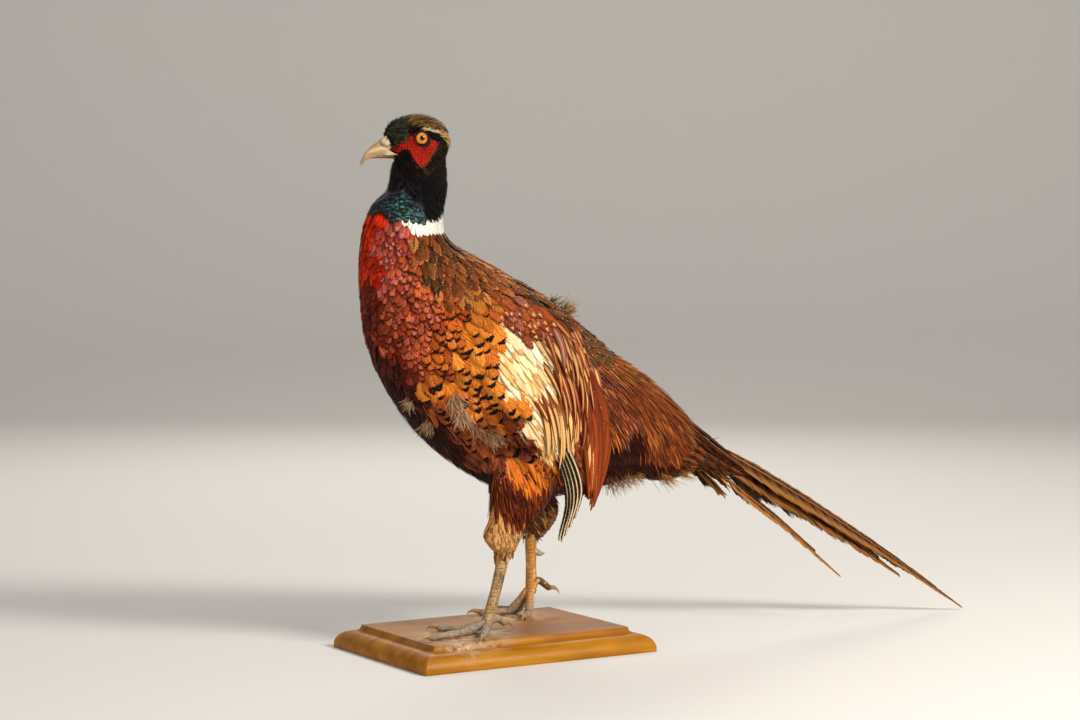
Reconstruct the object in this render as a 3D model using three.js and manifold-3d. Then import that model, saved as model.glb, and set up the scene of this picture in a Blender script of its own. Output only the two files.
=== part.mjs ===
// A mounted cock pheasant, life size, standing in mid-stride on a moulded wooden base.
// Millimetres, +Z up. The origin is the centre of the base's underside. The bird faces -X,
// its left side is on -Y, and its tail runs back and down along +X.
import * as THREE from 'three';
import { mergeVertices } from 'three/addons/utils/BufferGeometryUtils.js';
import Module from 'manifold-3d';

const wasm = await Module();
wasm.setup();

// ---------------------------------------------------------------- driving dimensions
const GAP = 0.3; // clearance between pieces that touch

const BASE = { length: 228, width: 168, thickness: 20.5, lip: 2.5, ovolo: 13, cove: 5 };

const HEAD_TURN = THREE.MathUtils.degToRad(-15); // the head looks a little to the bird's right
const HEAD_AT = new THREE.Vector3(-74.8, 0, 440.6); // middle of the head, level with the eyes
const EYE = { radius: 7.6, offset: 10.8 }; // the ball, and how far it sits from the middle plane

const FLOOR = BASE.thickness + GAP; // the level that the toes stand on

const vec = (x, y, z) => new THREE.Vector3(x, y, z);

// ---------------------------------------------------------------- shape helpers

// A closed manifold solid from a three.js geometry.
function solid(geometry) {
  const bare = new THREE.BufferGeometry();
  bare.setAttribute('position', geometry.getAttribute('position'));
  bare.setIndex(geometry.index);
  const merged = mergeVertices(bare, 1e-3);
  return new wasm.Manifold(new wasm.Mesh({
    numProp: 3,
    vertProperties: new Float32Array(merged.attributes.position.array),
    triVerts: new Uint32Array(merged.index.array),
  }));
}

// The largest body of a solid: what a cut leaves on the far side is dropped.
function largest(shape) {
  return shape.decompose().reduce((a, b) => (a.volume() > b.volume() ? a : b));
}

function geometryOf(shape) {
  const { vertProperties, triVerts } = shape.getMesh();
  const geometry = new THREE.BufferGeometry();
  geometry.setAttribute('position', new THREE.BufferAttribute(new Float32Array(vertProperties), 3));
  geometry.setIndex(new THREE.BufferAttribute(new Uint32Array(triVerts), 1));
  geometry.computeVertexNormals();
  return geometry;
}

// A closed surface through rings of equally many points, with a fan over each end.
function loft(rings) {
  const sides = rings[0].length;
  const points = rings.flat();
  const middles = [rings[0], rings.at(-1)].map((ring) =>
    ring.reduce((sum, p) => sum.add(p), vec(0, 0, 0)).divideScalar(sides));
  const index = [];
  for (let r = 0; r + 1 < rings.length; r++) {
    for (let i = 0; i < sides; i++) {
      const j = (i + 1) % sides;
      const [a, b, c, d] = [r * sides + i, r * sides + j, (r + 1) * sides + j, (r + 1) * sides + i];
      index.push(a, b, c, a, c, d);
    }
  }
  const [first, last] = [points.length, points.length + 1];
  const end = (rings.length - 1) * sides;
  for (let i = 0; i < sides; i++) {
    const j = (i + 1) % sides;
    index.push(first, j, i, last, end + i, end + j);
  }
  points.push(...middles);
  const geometry = new THREE.BufferGeometry().setFromPoints(points);
  geometry.setIndex(index);
  const made = solid(geometry);
  if (made.volume() > 0) return made;
  index.reverse();
  geometry.setIndex(index);
  return solid(geometry);
}

// Evenly spread shares from one value to another, both included.
const spread = (from, to, steps) =>
  Array.from({ length: steps + 1 }, (_, k) => from + ((to - from) * k) / steps);

// A smooth loft through stations { c, a, b }: a ring's middle and its two half-axis vectors.
// It has rings at the given shares of the way, and grow widens every ring.
function loftAt(shares, stations, sides, grow = 0) {
  const [middle, major, minor] = ['c', 'a', 'b'].map((key) =>
    new THREE.CatmullRomCurve3(stations.map((s) => s[key]), false, 'catmullrom', 0.5));
  const rings = [];
  for (const t of shares) {
    const [c, a, b] = [middle.getPoint(t), major.getPoint(t), minor.getPoint(t)];
    a.setLength(a.length() + grow);
    b.setLength(b.length() + grow);
    const ring = [];
    for (let i = 0; i < sides; i++) {
      const turn = (2 * Math.PI * i) / sides;
      ring.push(c.clone().addScaledVector(a, Math.cos(turn)).addScaledVector(b, Math.sin(turn)));
    }
    rings.push(ring);
  }
  return loft(rings);
}

const loftThrough = (stations, { sides = 16, steps = 14, grow = 0 } = {}) =>
  loftAt(spread(0, 1, steps), stations, sides, grow);

// A station given in the bird's middle plane by a back point, a belly point and a half-width.
function girth(backX, backZ, bellyX, bellyZ, half) {
  return {
    c: vec((backX + bellyX) / 2, 0, (backZ + bellyZ) / 2),
    a: vec((backX - bellyX) / 2, 0, (backZ - bellyZ) / 2),
    b: vec(0, half, 0),
  };
}

// A station of an upright limb: a level ellipse.
const limb = (x, y, z, halfX, halfY) => ({ c: vec(x, y, z), a: vec(halfX, 0, 0), b: vec(0, halfY, 0) });

// A round tube along points, with a radius at each.
function tube(points, radii, options) {
  const path = new THREE.CatmullRomCurve3(points);
  const stations = points.map((p, i) => {
    const along = path.getTangent(i / (points.length - 1));
    const level = Math.abs(along.z) > 0.9 ? vec(1, 0, 0) : vec(0, 0, 1);
    const a = level.addScaledVector(along, -level.dot(along)).setLength(radii[i]);
    return { c: p, a, b: along.clone().cross(a) };
  });
  return loftThrough(stations, { sides: 6, steps: 6, ...options });
}

// Mirrors stations to the bird's other side.
function mirrored(stations) {
  const flip = (v) => vec(v.x, -v.y, v.z);
  return stations.map(({ c, a, b }) => ({ c: flip(c), a: flip(a), b: flip(b) }));
}

// ---------------------------------------------------------------- materials
const material = (color, roughness) => new THREE.MeshStandardMaterial({ color, roughness, metalness: 0 });
const wood = material(0xb8782f, 0.45);
const bronzeBlack = material(0x1c1a17, 0.45);
const copper = material(0x8e3c1f, 0.6);
const rust = material(0x74290f, 0.65);
const cream = material(0xc99a5a, 0.65);
const barred = material(0x4a3020, 0.65);
const thighBrown = material(0xa8602a, 0.75);
const scaly = material(0xa08255, 0.5);
const horn = material(0xc2a778, 0.35);
const amber = material(0xe08a12, 0.05);
const olive = material(0x8a6a3c, 0.6);

const pheasant = new THREE.Group();

function place(name, shape, look) {
  const mesh = new THREE.Mesh(geometryOf(shape), look);
  mesh.name = name;
  pheasant.add(mesh);
  return shape;
}

// ---------------------------------------------------------------- base
// The edge moulding is a lip, an ovolo and a cove, mitred at the corners: one long bar for each
// direction, and what both bars share.
function mouldedBar(span, reach) {
  const { thickness, lip, ovolo, cove } = BASE;
  const half = span / 2;
  const shoulder = thickness - 5.5;
  const shape = new THREE.Shape();
  shape.moveTo(-half, 0);
  shape.lineTo(half, 0);
  shape.lineTo(half, lip);
  shape.absellipse(half - ovolo, lip, ovolo, shoulder - lip, 0, Math.PI / 2, false);
  shape.absellipse(half - ovolo, thickness, cove, thickness - shoulder, -Math.PI / 2, -Math.PI, true);
  shape.lineTo(ovolo + cove - half, thickness);
  shape.absellipse(ovolo - half, thickness, cove, thickness - shoulder, 0, -Math.PI / 2, true);
  shape.absellipse(ovolo - half, lip, ovolo, shoulder - lip, Math.PI / 2, Math.PI, false);
  const bar = new THREE.ExtrudeGeometry(shape, { depth: reach, bevelEnabled: false, curveSegments: 6 });
  bar.rotateX(Math.PI / 2);
  bar.translate(0, reach / 2, 0);
  return bar;
}

place('base', solid(mouldedBar(BASE.length, BASE.width))
  .intersect(solid(mouldedBar(BASE.width, BASE.length).rotateZ(Math.PI / 2))), wood);

// ---------------------------------------------------------------- head
const headPlace = new THREE.Matrix4().makeRotationZ(HEAD_TURN).setPosition(HEAD_AT);

// Stations of the head's own frame, taken to where the head is.
function inHead(stations) {
  const turn = (v) => v.clone().applyAxisAngle(vec(0, 0, 1), HEAD_TURN);
  return stations.map(({ c, a, b }) => ({ c: c.clone().applyMatrix4(headPlace), a: turn(a), b: turn(b) }));
}

const skull = inHead([
  girth(28, 0, 26, -12, 7),
  girth(24, 11, 20, -23, 13.5),
  girth(14, 18.5, 10, -27, 16.5),
  girth(2, 21.5, -2, -25, 16.5),
  girth(-12, 19.5, -12, -22, 14.5),
  girth(-22, 16, -21, -19, 11),
  girth(-28, 11.5, -26, -16, 8),
  girth(-30, 6, -28, -10, 5),
]);
const upperBill = inHead([
  girth(-19, 2.4, -14, -13.5, 6.4),
  girth(-25, 3, -20, -14, 5.9),
  girth(-32, -0.8, -27, -14.5, 5),
  girth(-39, -6, -34.5, -15.6, 4),
  girth(-45, -12.4, -41.5, -17.4, 2.8),
  girth(-48.2, -18, -45.6, -20.2, 1.7),
  girth(-49.6, -23.4, -48.6, -23.6, 0.6),
]);
const lowerBill = inHead([
  girth(-15, -12, -15, -18, 5.6),
  girth(-22, -12.5, -22, -18.2, 5),
  girth(-30, -13.5, -30, -17.8, 4),
  girth(-37, -14.8, -37, -17.6, 2.6),
  girth(-41, -16, -41, -17.6, 1.2),
]);

function eyeball(side, grow = 0) {
  const ball = new THREE.SphereGeometry(EYE.radius + grow, 12, 8);
  ball.translate(0, side * EYE.offset, 0);
  return solid(ball.applyMatrix4(headPlace));
}

const bill = (grow) => loftThrough(upperBill, { sides: 12, steps: 12, grow });
const jaw = (grow) => loftThrough(lowerBill, { sides: 10, steps: 6, grow });
const headShape = (grow) => loftThrough(skull, { sides: 18, steps: 11, grow });

place('head', largest(headShape(0).subtract(bill(GAP)).subtract(jaw(GAP))
  .subtract(eyeball(-1, GAP)).subtract(eyeball(1, GAP))), bronzeBlack);
place('bill_upper', bill(0), horn);
place('bill_lower', largest(jaw(0).subtract(bill(GAP))), horn);
place('eye_left', eyeball(-1), amber);
place('eye_right', eyeball(1), amber);

// ---------------------------------------------------------------- neck, trunk and rump
const girths = [
  girth(-49, 432, -97, 426, 14),
  girth(-47.5, 415, -101, 412, 19),
  girth(-48.5, 398, -100.5, 399, 24),
  girth(-52, 382, -114, 388, 29),
  girth(-52.5, 367, -121, 376, 35),
  girth(-47, 352, -125, 357, 42),
  girth(-22, 340, -127, 334, 50),
  girth(10, 323, -125.5, 303, 58),
  girth(49, 302, -120, 266, 63),
  girth(85, 277, -103, 229, 65),
  girth(116, 254, -75, 191, 63),
  girth(146, 237, -33, 157, 57),
  girth(169, 220, 18, 134, 50),
  girth(187, 204, 80, 129, 42),
  girth(203, 190, 140, 134, 33),
  girth(217, 180, 190, 136, 22),
  girth(227, 173, 214, 146, 12),
];
const NECK_END = 5; // the girths where the neck and the trunk end
const TRUNK_END = 11;
const SEAM = 0.012; // in girths: about the gap's width
const BODY_SIDES = 20;
const share = (station) => station / (girths.length - 1);
const neckRings = spread(0, share(NECK_END), 9);
const trunkRings = spread(share(NECK_END + SEAM), share(TRUNK_END), 12);
const rumpRings = spread(share(TRUNK_END + SEAM), 1, 10);
const body = (rings, grow) => loftAt(rings, girths, BODY_SIDES, grow);
const wholeBody = body([...neckRings, ...trunkRings, ...rumpRings], GAP);

place('neck', largest(body(neckRings, 0).subtract(headShape(GAP)).subtract(jaw(GAP)).subtract(bill(GAP))
  .subtract(eyeball(-1, GAP)).subtract(eyeball(1, GAP))), bronzeBlack);

// ---------------------------------------------------------------- legs
const thighs = {
  left: [
    limb(12, -36, 178, 34, 22),
    limb(6, -38, 150, 34, 21),
    limb(3, -39, 130, 30, 18),
    limb(-7, -39, 116, 23, 14),
    limb(-14, -39, 105, 22, 13),
    limb(-14.5, -39, 95, 15, 10),
    limb(-12.5, -38.5, 87, 8, 7),
  ],
  right: [
    limb(35, 34, 178, 34, 22),
    limb(42, 34, 150, 34, 20),
    limb(54, 34, 131, 32, 17),
    limb(62, 34, 117, 26, 14),
    limb(65, 34, 105, 20, 11),
    limb(64, 34, 96, 14, 9),
    limb(60, 34, 88, 8, 7),
  ],
};
const shanks = {
  left: [vec(-9, -39.5, 104), vec(-13.5, -37, 82), vec(-19, -34, 55), vec(-24.5, -31, 33)],
  right: [vec(58, 34, 108), vec(57.5, 34, 86), vec(57.5, 33.7, 66), vec(58, 33.5, 49)],
};
const SHANK_RADII = [6, 5.2, 4.6, 5.4];
const CLAW = { length: 10, radius: 2 };

// Each foot: its hub, and for each toe the tip on the floor; the hallux and the spur leave the shank.
const feet = {
  left: {
    hub: vec(-25, -30.5, 28.5),
    toes: { inner: [-56, 1], middle: [-86, -40.5], outer: [-48, -62] },
    hallux: [vec(-25, -30.5, 30), vec(-14, -28, 32), vec(-4, -25, 26)],
    spur: [vec(-17, -32, 62), vec(-11, -26, 60), vec(-8, -22, 58)],
  },
  right: {
    hub: vec(57.5, 33.5, 43),
    toes: { inner: [39, 14], middle: [17, 58], outer: [43, 68] },
    hallux: [vec(57.5, 33.5, 45), vec(65, 34, 51), vec(77.5, 34, 42.5)],
    spur: [vec(60, 32, 78), vec(65, 30.5, 75.5), vec(69, 29.5, 75.5)],
  },
};
const TOE_RADII = [4.6, 3.9, 3.9, 3.3, 3.2, 2.5];

// A toe's centre line: off the hub, down to the floor and along it to its last joint.
function toePath(hub, [tipX, tipY]) {
  return TOE_RADII.map((radius, i) => {
    const t = i / (TOE_RADII.length - 1);
    const down = THREE.MathUtils.smoothstep(t, 0, 0.45);
    return vec(
      THREE.MathUtils.lerp(hub.x, tipX, t),
      THREE.MathUtils.lerp(hub.y, tipY, t),
      THREE.MathUtils.lerp(hub.z, FLOOR + radius, down),
    );
  });
}

// A claw goes on from a toe's last point, curving down to the given level.
function claw(points, tipZ, grow = 0) {
  const end = points.at(-1);
  const along = end.clone().sub(points.at(-2)).normalize();
  const path = [0.35, 1, 1.75, 2.4].map((t, i) => {
    const p = end.clone().addScaledVector(along, (t - 0.9) * CLAW.length * 0.55);
    p.z = THREE.MathUtils.lerp(end.z + 0.4, tipZ, (i / 3) ** 1.6);
    return p;
  });
  const radii = [1, 0.95, 0.65, 0.2].map((r) => r * CLAW.radius + grow);
  return tube(path, radii, { sides: 6, steps: 4 });
}

function leg(side) {
  const { hub, toes, hallux, spur } = feet[side];
  const shank = (grow) => tube(shanks[side], SHANK_RADII.map((r) => r + grow), { sides: 10, steps: 8 });
  const spurShape = (grow) => tube(spur, [2.8, 2, 0.4].map((r) => r + grow), { sides: 6, steps: 4 });
  const paths = Object.fromEntries(Object.entries(toes).map(([name, tip]) => [name, toePath(hub, tip)]));
  const ball = new THREE.SphereGeometry(6.4, 9, 6).scale(1, 1, 0.95).translate(hub.x, hub.y, hub.z);
  let foot = solid(ball).add(tube(hallux, [3.4, 3, 2.3], { sides: 6, steps: 4 }));
  for (const path of Object.values(paths)) foot = foot.add(tube(path, TOE_RADII));
  const claws = Object.entries(paths).map(([name, path]) => [name, path, FLOOR + 0.3]);
  claws.push(['hallux', hallux, hallux.at(-1).z - 3.5]);
  for (const [name, path, tipZ] of claws) {
    foot = foot.subtract(claw(path, tipZ, GAP));
    place(`claw_${side}_${name}`, claw(path, tipZ), horn);
  }
  place(`foot_${side}`, largest(foot.subtract(shank(GAP))), scaly);
  place(`spur_${side}`, largest(spurShape(0).subtract(shank(GAP))), horn);
  place(`shank_${side}`, shank(0), scaly);
  return (grow) => loftThrough(thighs[side], { sides: 14, steps: 10, grow }).subtract(shank(GAP));
}

const thighShapes = { left: leg('left'), right: leg('right') };
for (const side of ['left', 'right']) {
  place(`thigh_${side}`, largest(thighShapes[side](0).subtract(wholeBody)), thighBrown);
}

// ---------------------------------------------------------------- wings
// The folded wing: a leaf that hangs from the shoulder along the body's side, its tip free of it.
function leaf(x, y, z, half, thick, lean = 0) {
  const across = vec(0.83, 0, 0.56);
  const out = vec(0, -Math.cos(lean), Math.sin(lean));
  return { c: vec(x, y, z), a: across.multiplyScalar(half), b: out.multiplyScalar(thick / 2) };
}

const wing = [
  leaf(-58, -42, 318, 6, 5, 0.4),
  leaf(-40, -54, 299, 30, 12, 0.35),
  leaf(-13, -60, 270, 46, 16, 0.3),
  leaf(14, -62, 233, 49, 17, 0.2),
  leaf(35, -62, 197, 40, 14, 0.1),
  leaf(51, -60, 163, 24, 9, 0),
  leaf(65, -58, 133, 5, 2, 0),
];
const primaries = [
  leaf(16, -58, 196, 5, 2.5),
  leaf(24, -59, 168, 13, 4),
  leaf(32, -60, 141, 14, 4),
  leaf(38, -59, 118, 10, 3),
  leaf(39, -57, 100, 3, 1.6),
];

for (const [side, turned] of [['left', (s) => s], ['right', mirrored]]) {
  const wingShape = (grow) => loftThrough(turned(wing), { sides: 14, steps: 12, grow });
  const quills = loftThrough(turned(primaries), { sides: 10, steps: 8 });
  const inside = wholeBody.add(thighShapes[side](GAP));
  place(`wing_${side}`, largest(wingShape(0).subtract(inside)), cream);
  place(`primaries_${side}`, largest(quills.subtract(inside).subtract(wingShape(GAP))), barred);
}

place('trunk', body(trunkRings, 0), copper);
place('rump', body(rumpRings, 0), rust);

// ---------------------------------------------------------------- tail
// Long graduated feathers, folded like a roof: those of each side lean outwards and down.
const TAIL_ROOT = vec(196, 0, 184);
const TAIL_PITCH = vec(0, 3.2, -8); // between one root and the next, outwards and down
const FEATHER_THICKNESS = 1.2;
const TAIL_ARCH = 7; // how far the top feathers' middle stands above the chord
const TAIL = [ // the tips of each pair of feathers, their width, and their lean from level
  { tips: { left: vec(486, -42, 5), right: vec(474, -28, 20) }, width: 28, lean: 0.8 },
  { tips: { left: vec(417, -38, 40), right: vec(405, -24, 55) }, width: 26, lean: 1.0 },
  { tips: { left: vec(345, -42, 44), right: vec(333, -20, 66) }, width: 16, lean: 1.1 },
  { tips: { left: vec(222, -34, 125), right: vec(238, 8, 128) }, width: 14, lean: 1.2 },
];

// The outline of a feather: it widens from the quill, stays broad, then runs to a point.
const vaneWidth = (t) => Math.min(1, 0.35 + 3 * t) * (1 - 0.93 * t ** 1.7);

function tailFeather(root, tip, arch, side, width, lean) {
  const across = vec(0, side * Math.cos(lean), -Math.sin(lean));
  const out = vec(0, side * Math.sin(lean), Math.cos(lean));
  const stations = spread(0, 1, 6).map((t) => {
    const half = (width / 2) * vaneWidth(t);
    const c = root.clone().lerp(tip, t).addScaledVector(across, 0.55 * half);
    c.z += arch * Math.sin(Math.PI * t);
    return {
      c,
      a: across.clone().multiplyScalar(half),
      b: out.clone().multiplyScalar((FEATHER_THICKNESS / 2) * (1 - 0.4 * t)),
    };
  });
  return loftThrough(stations, { sides: 6, steps: 10 });
}

for (const [side, sign] of [['left', -1], ['right', 1]]) {
  TAIL.forEach(({ tips, width, lean }, rank) => {
    const root = TAIL_ROOT.clone().add(vec(0, sign * TAIL_PITCH.y, rank * TAIL_PITCH.z));
    const arch = TAIL_ARCH * (1 - rank / TAIL.length);
    const feather = tailFeather(root, tips[side], arch, sign, width, lean);
    place(`tail_feather_${side}_${rank + 1}`, largest(feather.subtract(wholeBody)), olive);
  });
}

export default pheasant;
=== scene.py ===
import math
from dataclasses import dataclass

import bmesh
import bpy
import numpy as np
from mathutils import Matrix, Vector
from mathutils.bvhtree import BVHTree
from mathutils.kdtree import KDTree


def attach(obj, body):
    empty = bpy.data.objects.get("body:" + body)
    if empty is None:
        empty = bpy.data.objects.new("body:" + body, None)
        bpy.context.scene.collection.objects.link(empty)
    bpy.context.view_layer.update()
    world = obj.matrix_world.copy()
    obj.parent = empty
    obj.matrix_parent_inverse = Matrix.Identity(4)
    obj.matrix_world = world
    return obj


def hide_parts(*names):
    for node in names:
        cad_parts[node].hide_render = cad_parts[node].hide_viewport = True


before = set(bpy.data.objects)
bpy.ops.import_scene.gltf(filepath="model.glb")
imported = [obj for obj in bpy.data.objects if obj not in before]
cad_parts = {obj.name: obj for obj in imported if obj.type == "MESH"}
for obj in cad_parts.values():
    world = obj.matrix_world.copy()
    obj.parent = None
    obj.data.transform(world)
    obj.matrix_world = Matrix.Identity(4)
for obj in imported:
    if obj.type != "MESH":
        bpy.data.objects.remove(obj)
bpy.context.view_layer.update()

MM = 0.001

# ------------------------------------------------------------------ places, in mm in the row frame
HEAD_AT = np.array([-74.8, 0.0, 440.6])  # between the eyes
HEAD_TURN = math.radians(-15)
HEAD_HALF = 5  # beyond this, sideways from the head's middle, a point is on one of its sides
HEAD_FROM = 405  # the head lies above this height
EYE_RADIUS = 7.6
EYE_OFFSET = 10.8
EYE_OPENING = 5.35
FLOOR_Z = 20.8  # the level that the toes stand on, just over the base

FLESH = ["head", "neck", "trunk", "rump", "thigh_left", "thigh_right", "wing_left", "wing_right"]
SKIN_VOXEL = 2.1
SIDES = ((-1, "left"), (1, "right"))


def srgb(r, g, b):
    """A linear colour from the familiar 0 to 255 values."""
    return tuple(((c / 255 + 0.055) / 1.055) ** 2.4 if c > 10 else c / 255 / 12.92 for c in (r, g, b))


def smooth(x, low, high):
    """0 below low and 1 above high, smooth between."""
    t = np.clip((np.asarray(x, float) - low) / (high - low), 0, 1)
    return t * t * (3 - 2 * t)


def unit(v):
    """Vectors of length 1 in the same directions."""
    return v / np.maximum(np.linalg.norm(v, axis=-1, keepdims=True), 1e-12)


def head_axes():
    """The head's own axes: backwards, to the bird's right, and up."""
    c, s = math.cos(HEAD_TURN), math.sin(HEAD_TURN)
    return np.array([[c, s, 0], [-s, c, 0], [0, 0, 1]])


def to_head(points):
    """Places in the head's own frame, from between the eyes."""
    return (points - HEAD_AT) @ head_axes().T


def from_head(points):
    return np.asarray(points, float) @ head_axes() + HEAD_AT


# ------------------------------------------------------------------ mesh helpers
def array_mesh(name, points_mm, polygons):
    """A mesh from points in mm and a list of index arrays, each holding polygons of one size."""
    mesh = bpy.data.meshes.new(name)
    mesh.vertices.add(len(points_mm))
    write_points(mesh, np.asarray(points_mm))
    loops = np.concatenate([p.ravel() for p in polygons]).astype(np.int32)
    sizes = np.concatenate([np.full(len(p), p.shape[1]) for p in polygons])
    mesh.loops.add(len(loops))
    mesh.loops.foreach_set("vertex_index", loops)
    mesh.polygons.add(len(sizes))
    starts = np.concatenate([[0], np.cumsum(sizes)[:-1]]).astype(np.int32)
    mesh.polygons.foreach_set("loop_start", starts)
    shade_smooth(mesh)
    mesh.update(calc_edges=True)
    return mesh


def shade_smooth(mesh):
    mesh.polygons.foreach_set("use_smooth", np.ones(len(mesh.polygons), bool))


def read(items, key, width, kind=np.float32):
    """A property of mesh items as rows of the given width."""
    flat = np.empty(width * len(items), kind)
    items.foreach_get(key, flat)
    return flat.reshape(-1, width)


def read_points(mesh):
    """The mesh's points in mm."""
    return read(mesh.vertices, "co", 3).astype(float) / MM


def read_normals(mesh):
    return read(mesh.vertices, "normal", 3).astype(float)


def read_edges(mesh):
    return read(mesh.edges, "vertices", 2, np.int32)


def write_points(mesh, points):
    mesh.vertices.foreach_set("co", (points * MM).astype(np.float32).ravel())


def tube_polygons(rows, columns):
    """Index arrays of a closed tube: its wall and both ends."""
    index = np.arange(rows * columns).reshape(rows, columns)
    a, b = index[:-1], np.roll(index, -1, 1)[:-1]
    wall = np.stack([a, b, b + columns, a + columns], -1).reshape(-1, 4)
    return [wall, index[:1, ::-1], index[-1:]]


def add_colour(mesh, name, values):
    """A colour for each vertex. A fourth value, if given, is carried as its alpha."""
    values = np.asarray(values, np.float32)
    if values.shape[1] == 3:
        values = np.hstack([values, np.ones((len(values), 1), np.float32)])
    mesh.attributes.new(name, "FLOAT_COLOR", "POINT").data.foreach_set("color", values.ravel())


def add_vector(mesh, name, values):
    layer = mesh.attributes.new(name, "FLOAT_VECTOR", "POINT")
    layer.data.foreach_set("vector", np.asarray(values, np.float32).ravel())


def add_uv(mesh, per_vertex):
    """The OFBake map, from one pair for each vertex."""
    loops = read(mesh.loops, "vertex_index", 1, np.int32)[:, 0]
    layer = mesh.uv_layers.new(name="OFBake")
    layer.data.foreach_set("uv", np.asarray(per_vertex, np.float32)[loops].ravel())


def show(name, data, where=(0, 0, 0)):
    """A new object in the scene, at a place in metres."""
    thing = bpy.data.objects.new(name, data)
    thing.location = where
    bpy.context.scene.collection.objects.link(thing)
    return thing


def place(name, mesh, slot, material, replaces=()):
    """Shows a mesh as a piece of the bird, with its material and what it stands for."""
    piece = show(name, mesh)
    mesh.materials.clear()
    mesh.materials.append(material)
    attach(piece, "root")
    if replaces:
        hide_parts(*replaces)


# ------------------------------------------------------------------ material helpers
class Value:
    """A number that a material's nodes work out. Arithmetic on it adds Math nodes."""

    def __init__(self, look, socket):
        self.look = look
        self.socket = socket

    def __add__(self, other):
        return self.look.math("ADD", self, other)

    def __sub__(self, other):
        return self.look.math("SUBTRACT", self, other)

    def __rsub__(self, other):
        return self.look.math("SUBTRACT", other, self)

    def __mul__(self, other):
        return self.look.math("MULTIPLY", self, other)

    def __truediv__(self, other):
        return self.look.math("DIVIDE", self, other)

    def __abs__(self):
        return self.look.math("ABSOLUTE", self)

    def times(self, factor, plus):
        return self.look.math("MULTIPLY_ADD", self, factor, plus)

    def or_more(self, least):
        return self.look.math("MAXIMUM", self, least)

    def step(self, low, high):
        """0 below low and 1 above high, smooth between."""
        values = {"Value": self, "From Min": low, "From Max": high}
        node = self.look.add("MapRange", values, interpolation_type="SMOOTHSTEP")
        return Value(self.look, node.outputs["Result"])


class Look:
    """A node material under construction, with one Principled shader."""

    def __init__(self, name, **constants):
        self.material = bpy.data.materials.new(name)
        self.material.use_nodes = True
        self.tree = self.material.node_tree
        self.shader = self.tree.nodes["Principled BSDF"]
        for key, value in constants.items():
            self.shader.inputs[key.replace("_", " ")].default_value = value

    def add(self, kind, values=None, **settings):
        made = self.tree.nodes.new("ShaderNode" + kind)
        for key, value in settings.items():
            setattr(made, key, value)
        for key, value in (values or {}).items():
            self.feed(made.inputs[key], value)
        return made

    def feed(self, socket, value):
        if isinstance(value, Value):
            value = value.socket
        if isinstance(value, bpy.types.NodeSocket):
            self.tree.links.new(value, socket)
            return
        if isinstance(value, (tuple, list)) and socket.type == "RGBA" and len(value) == 3:
            value = (*value, 1)
        socket.default_value = value

    def math(self, operation, a, b=0.0, c=0.0):
        node = self.add("Math", {0: a, 1: b, 2: c}, operation=operation)
        return Value(self, node.outputs[0])

    def mix(self, amount, a, b, blend="MIX"):
        """The colour a, with the given amount of b over it."""
        return self.add("Mix", {0: amount, 6: a, 7: b}, data_type="RGBA", blend_type=blend).outputs[2]

    def shaded(self, colour, shade):
        return self.mix(1.0, colour, self.vector(shade, shade, shade), "MULTIPLY")

    def attribute(self, name):
        return self.add("Attribute", attribute_name=name).outputs

    def split(self, vector, kind="XYZ"):
        return [Value(self, part) for part in self.add("Separate" + kind, {0: vector}).outputs]

    def vector(self, x=0.0, y=0.0, z=0.0):
        return self.add("CombineXYZ", {0: x, 1: y, 2: z}).outputs[0]

    def noise(self, vector, scale=1.0, detail=2.0, roughness=0.5):
        values = {"Vector": vector, "Scale": scale, "Detail": detail, "Roughness": roughness}
        return Value(self, self.add("TexNoise", values).outputs["Fac"])

    def stretch(self, vector, scale, turn=(0, 0, 0)):
        return self.add("Mapping", {"Vector": vector, "Scale": scale, "Rotation": turn}).outputs[0]

    def place(self):
        """Object coordinates: metres in the row frame."""
        return self.add("TexCoord").outputs["Object"]

    def colour(self, value):
        self.feed(self.shader.inputs["Base Color"], value)

    def roughness(self, value):
        self.feed(self.shader.inputs["Roughness"], value)

    def bump(self, height, strength, distance):
        node = self.add("Bump", {"Height": height, "Strength": strength, "Distance": distance})
        self.feed(self.shader.inputs["Normal"], node.outputs[0])


BARB_TONE = 0.16  # how much lighter or darker one barb is than the next
BARB_LEAN = -1.1  # how far a barb runs along the vane for each step across it
SHAFT_SHOWS = 0.5
SHAFT_COLOUR = srgb(232, 184, 122)


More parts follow.
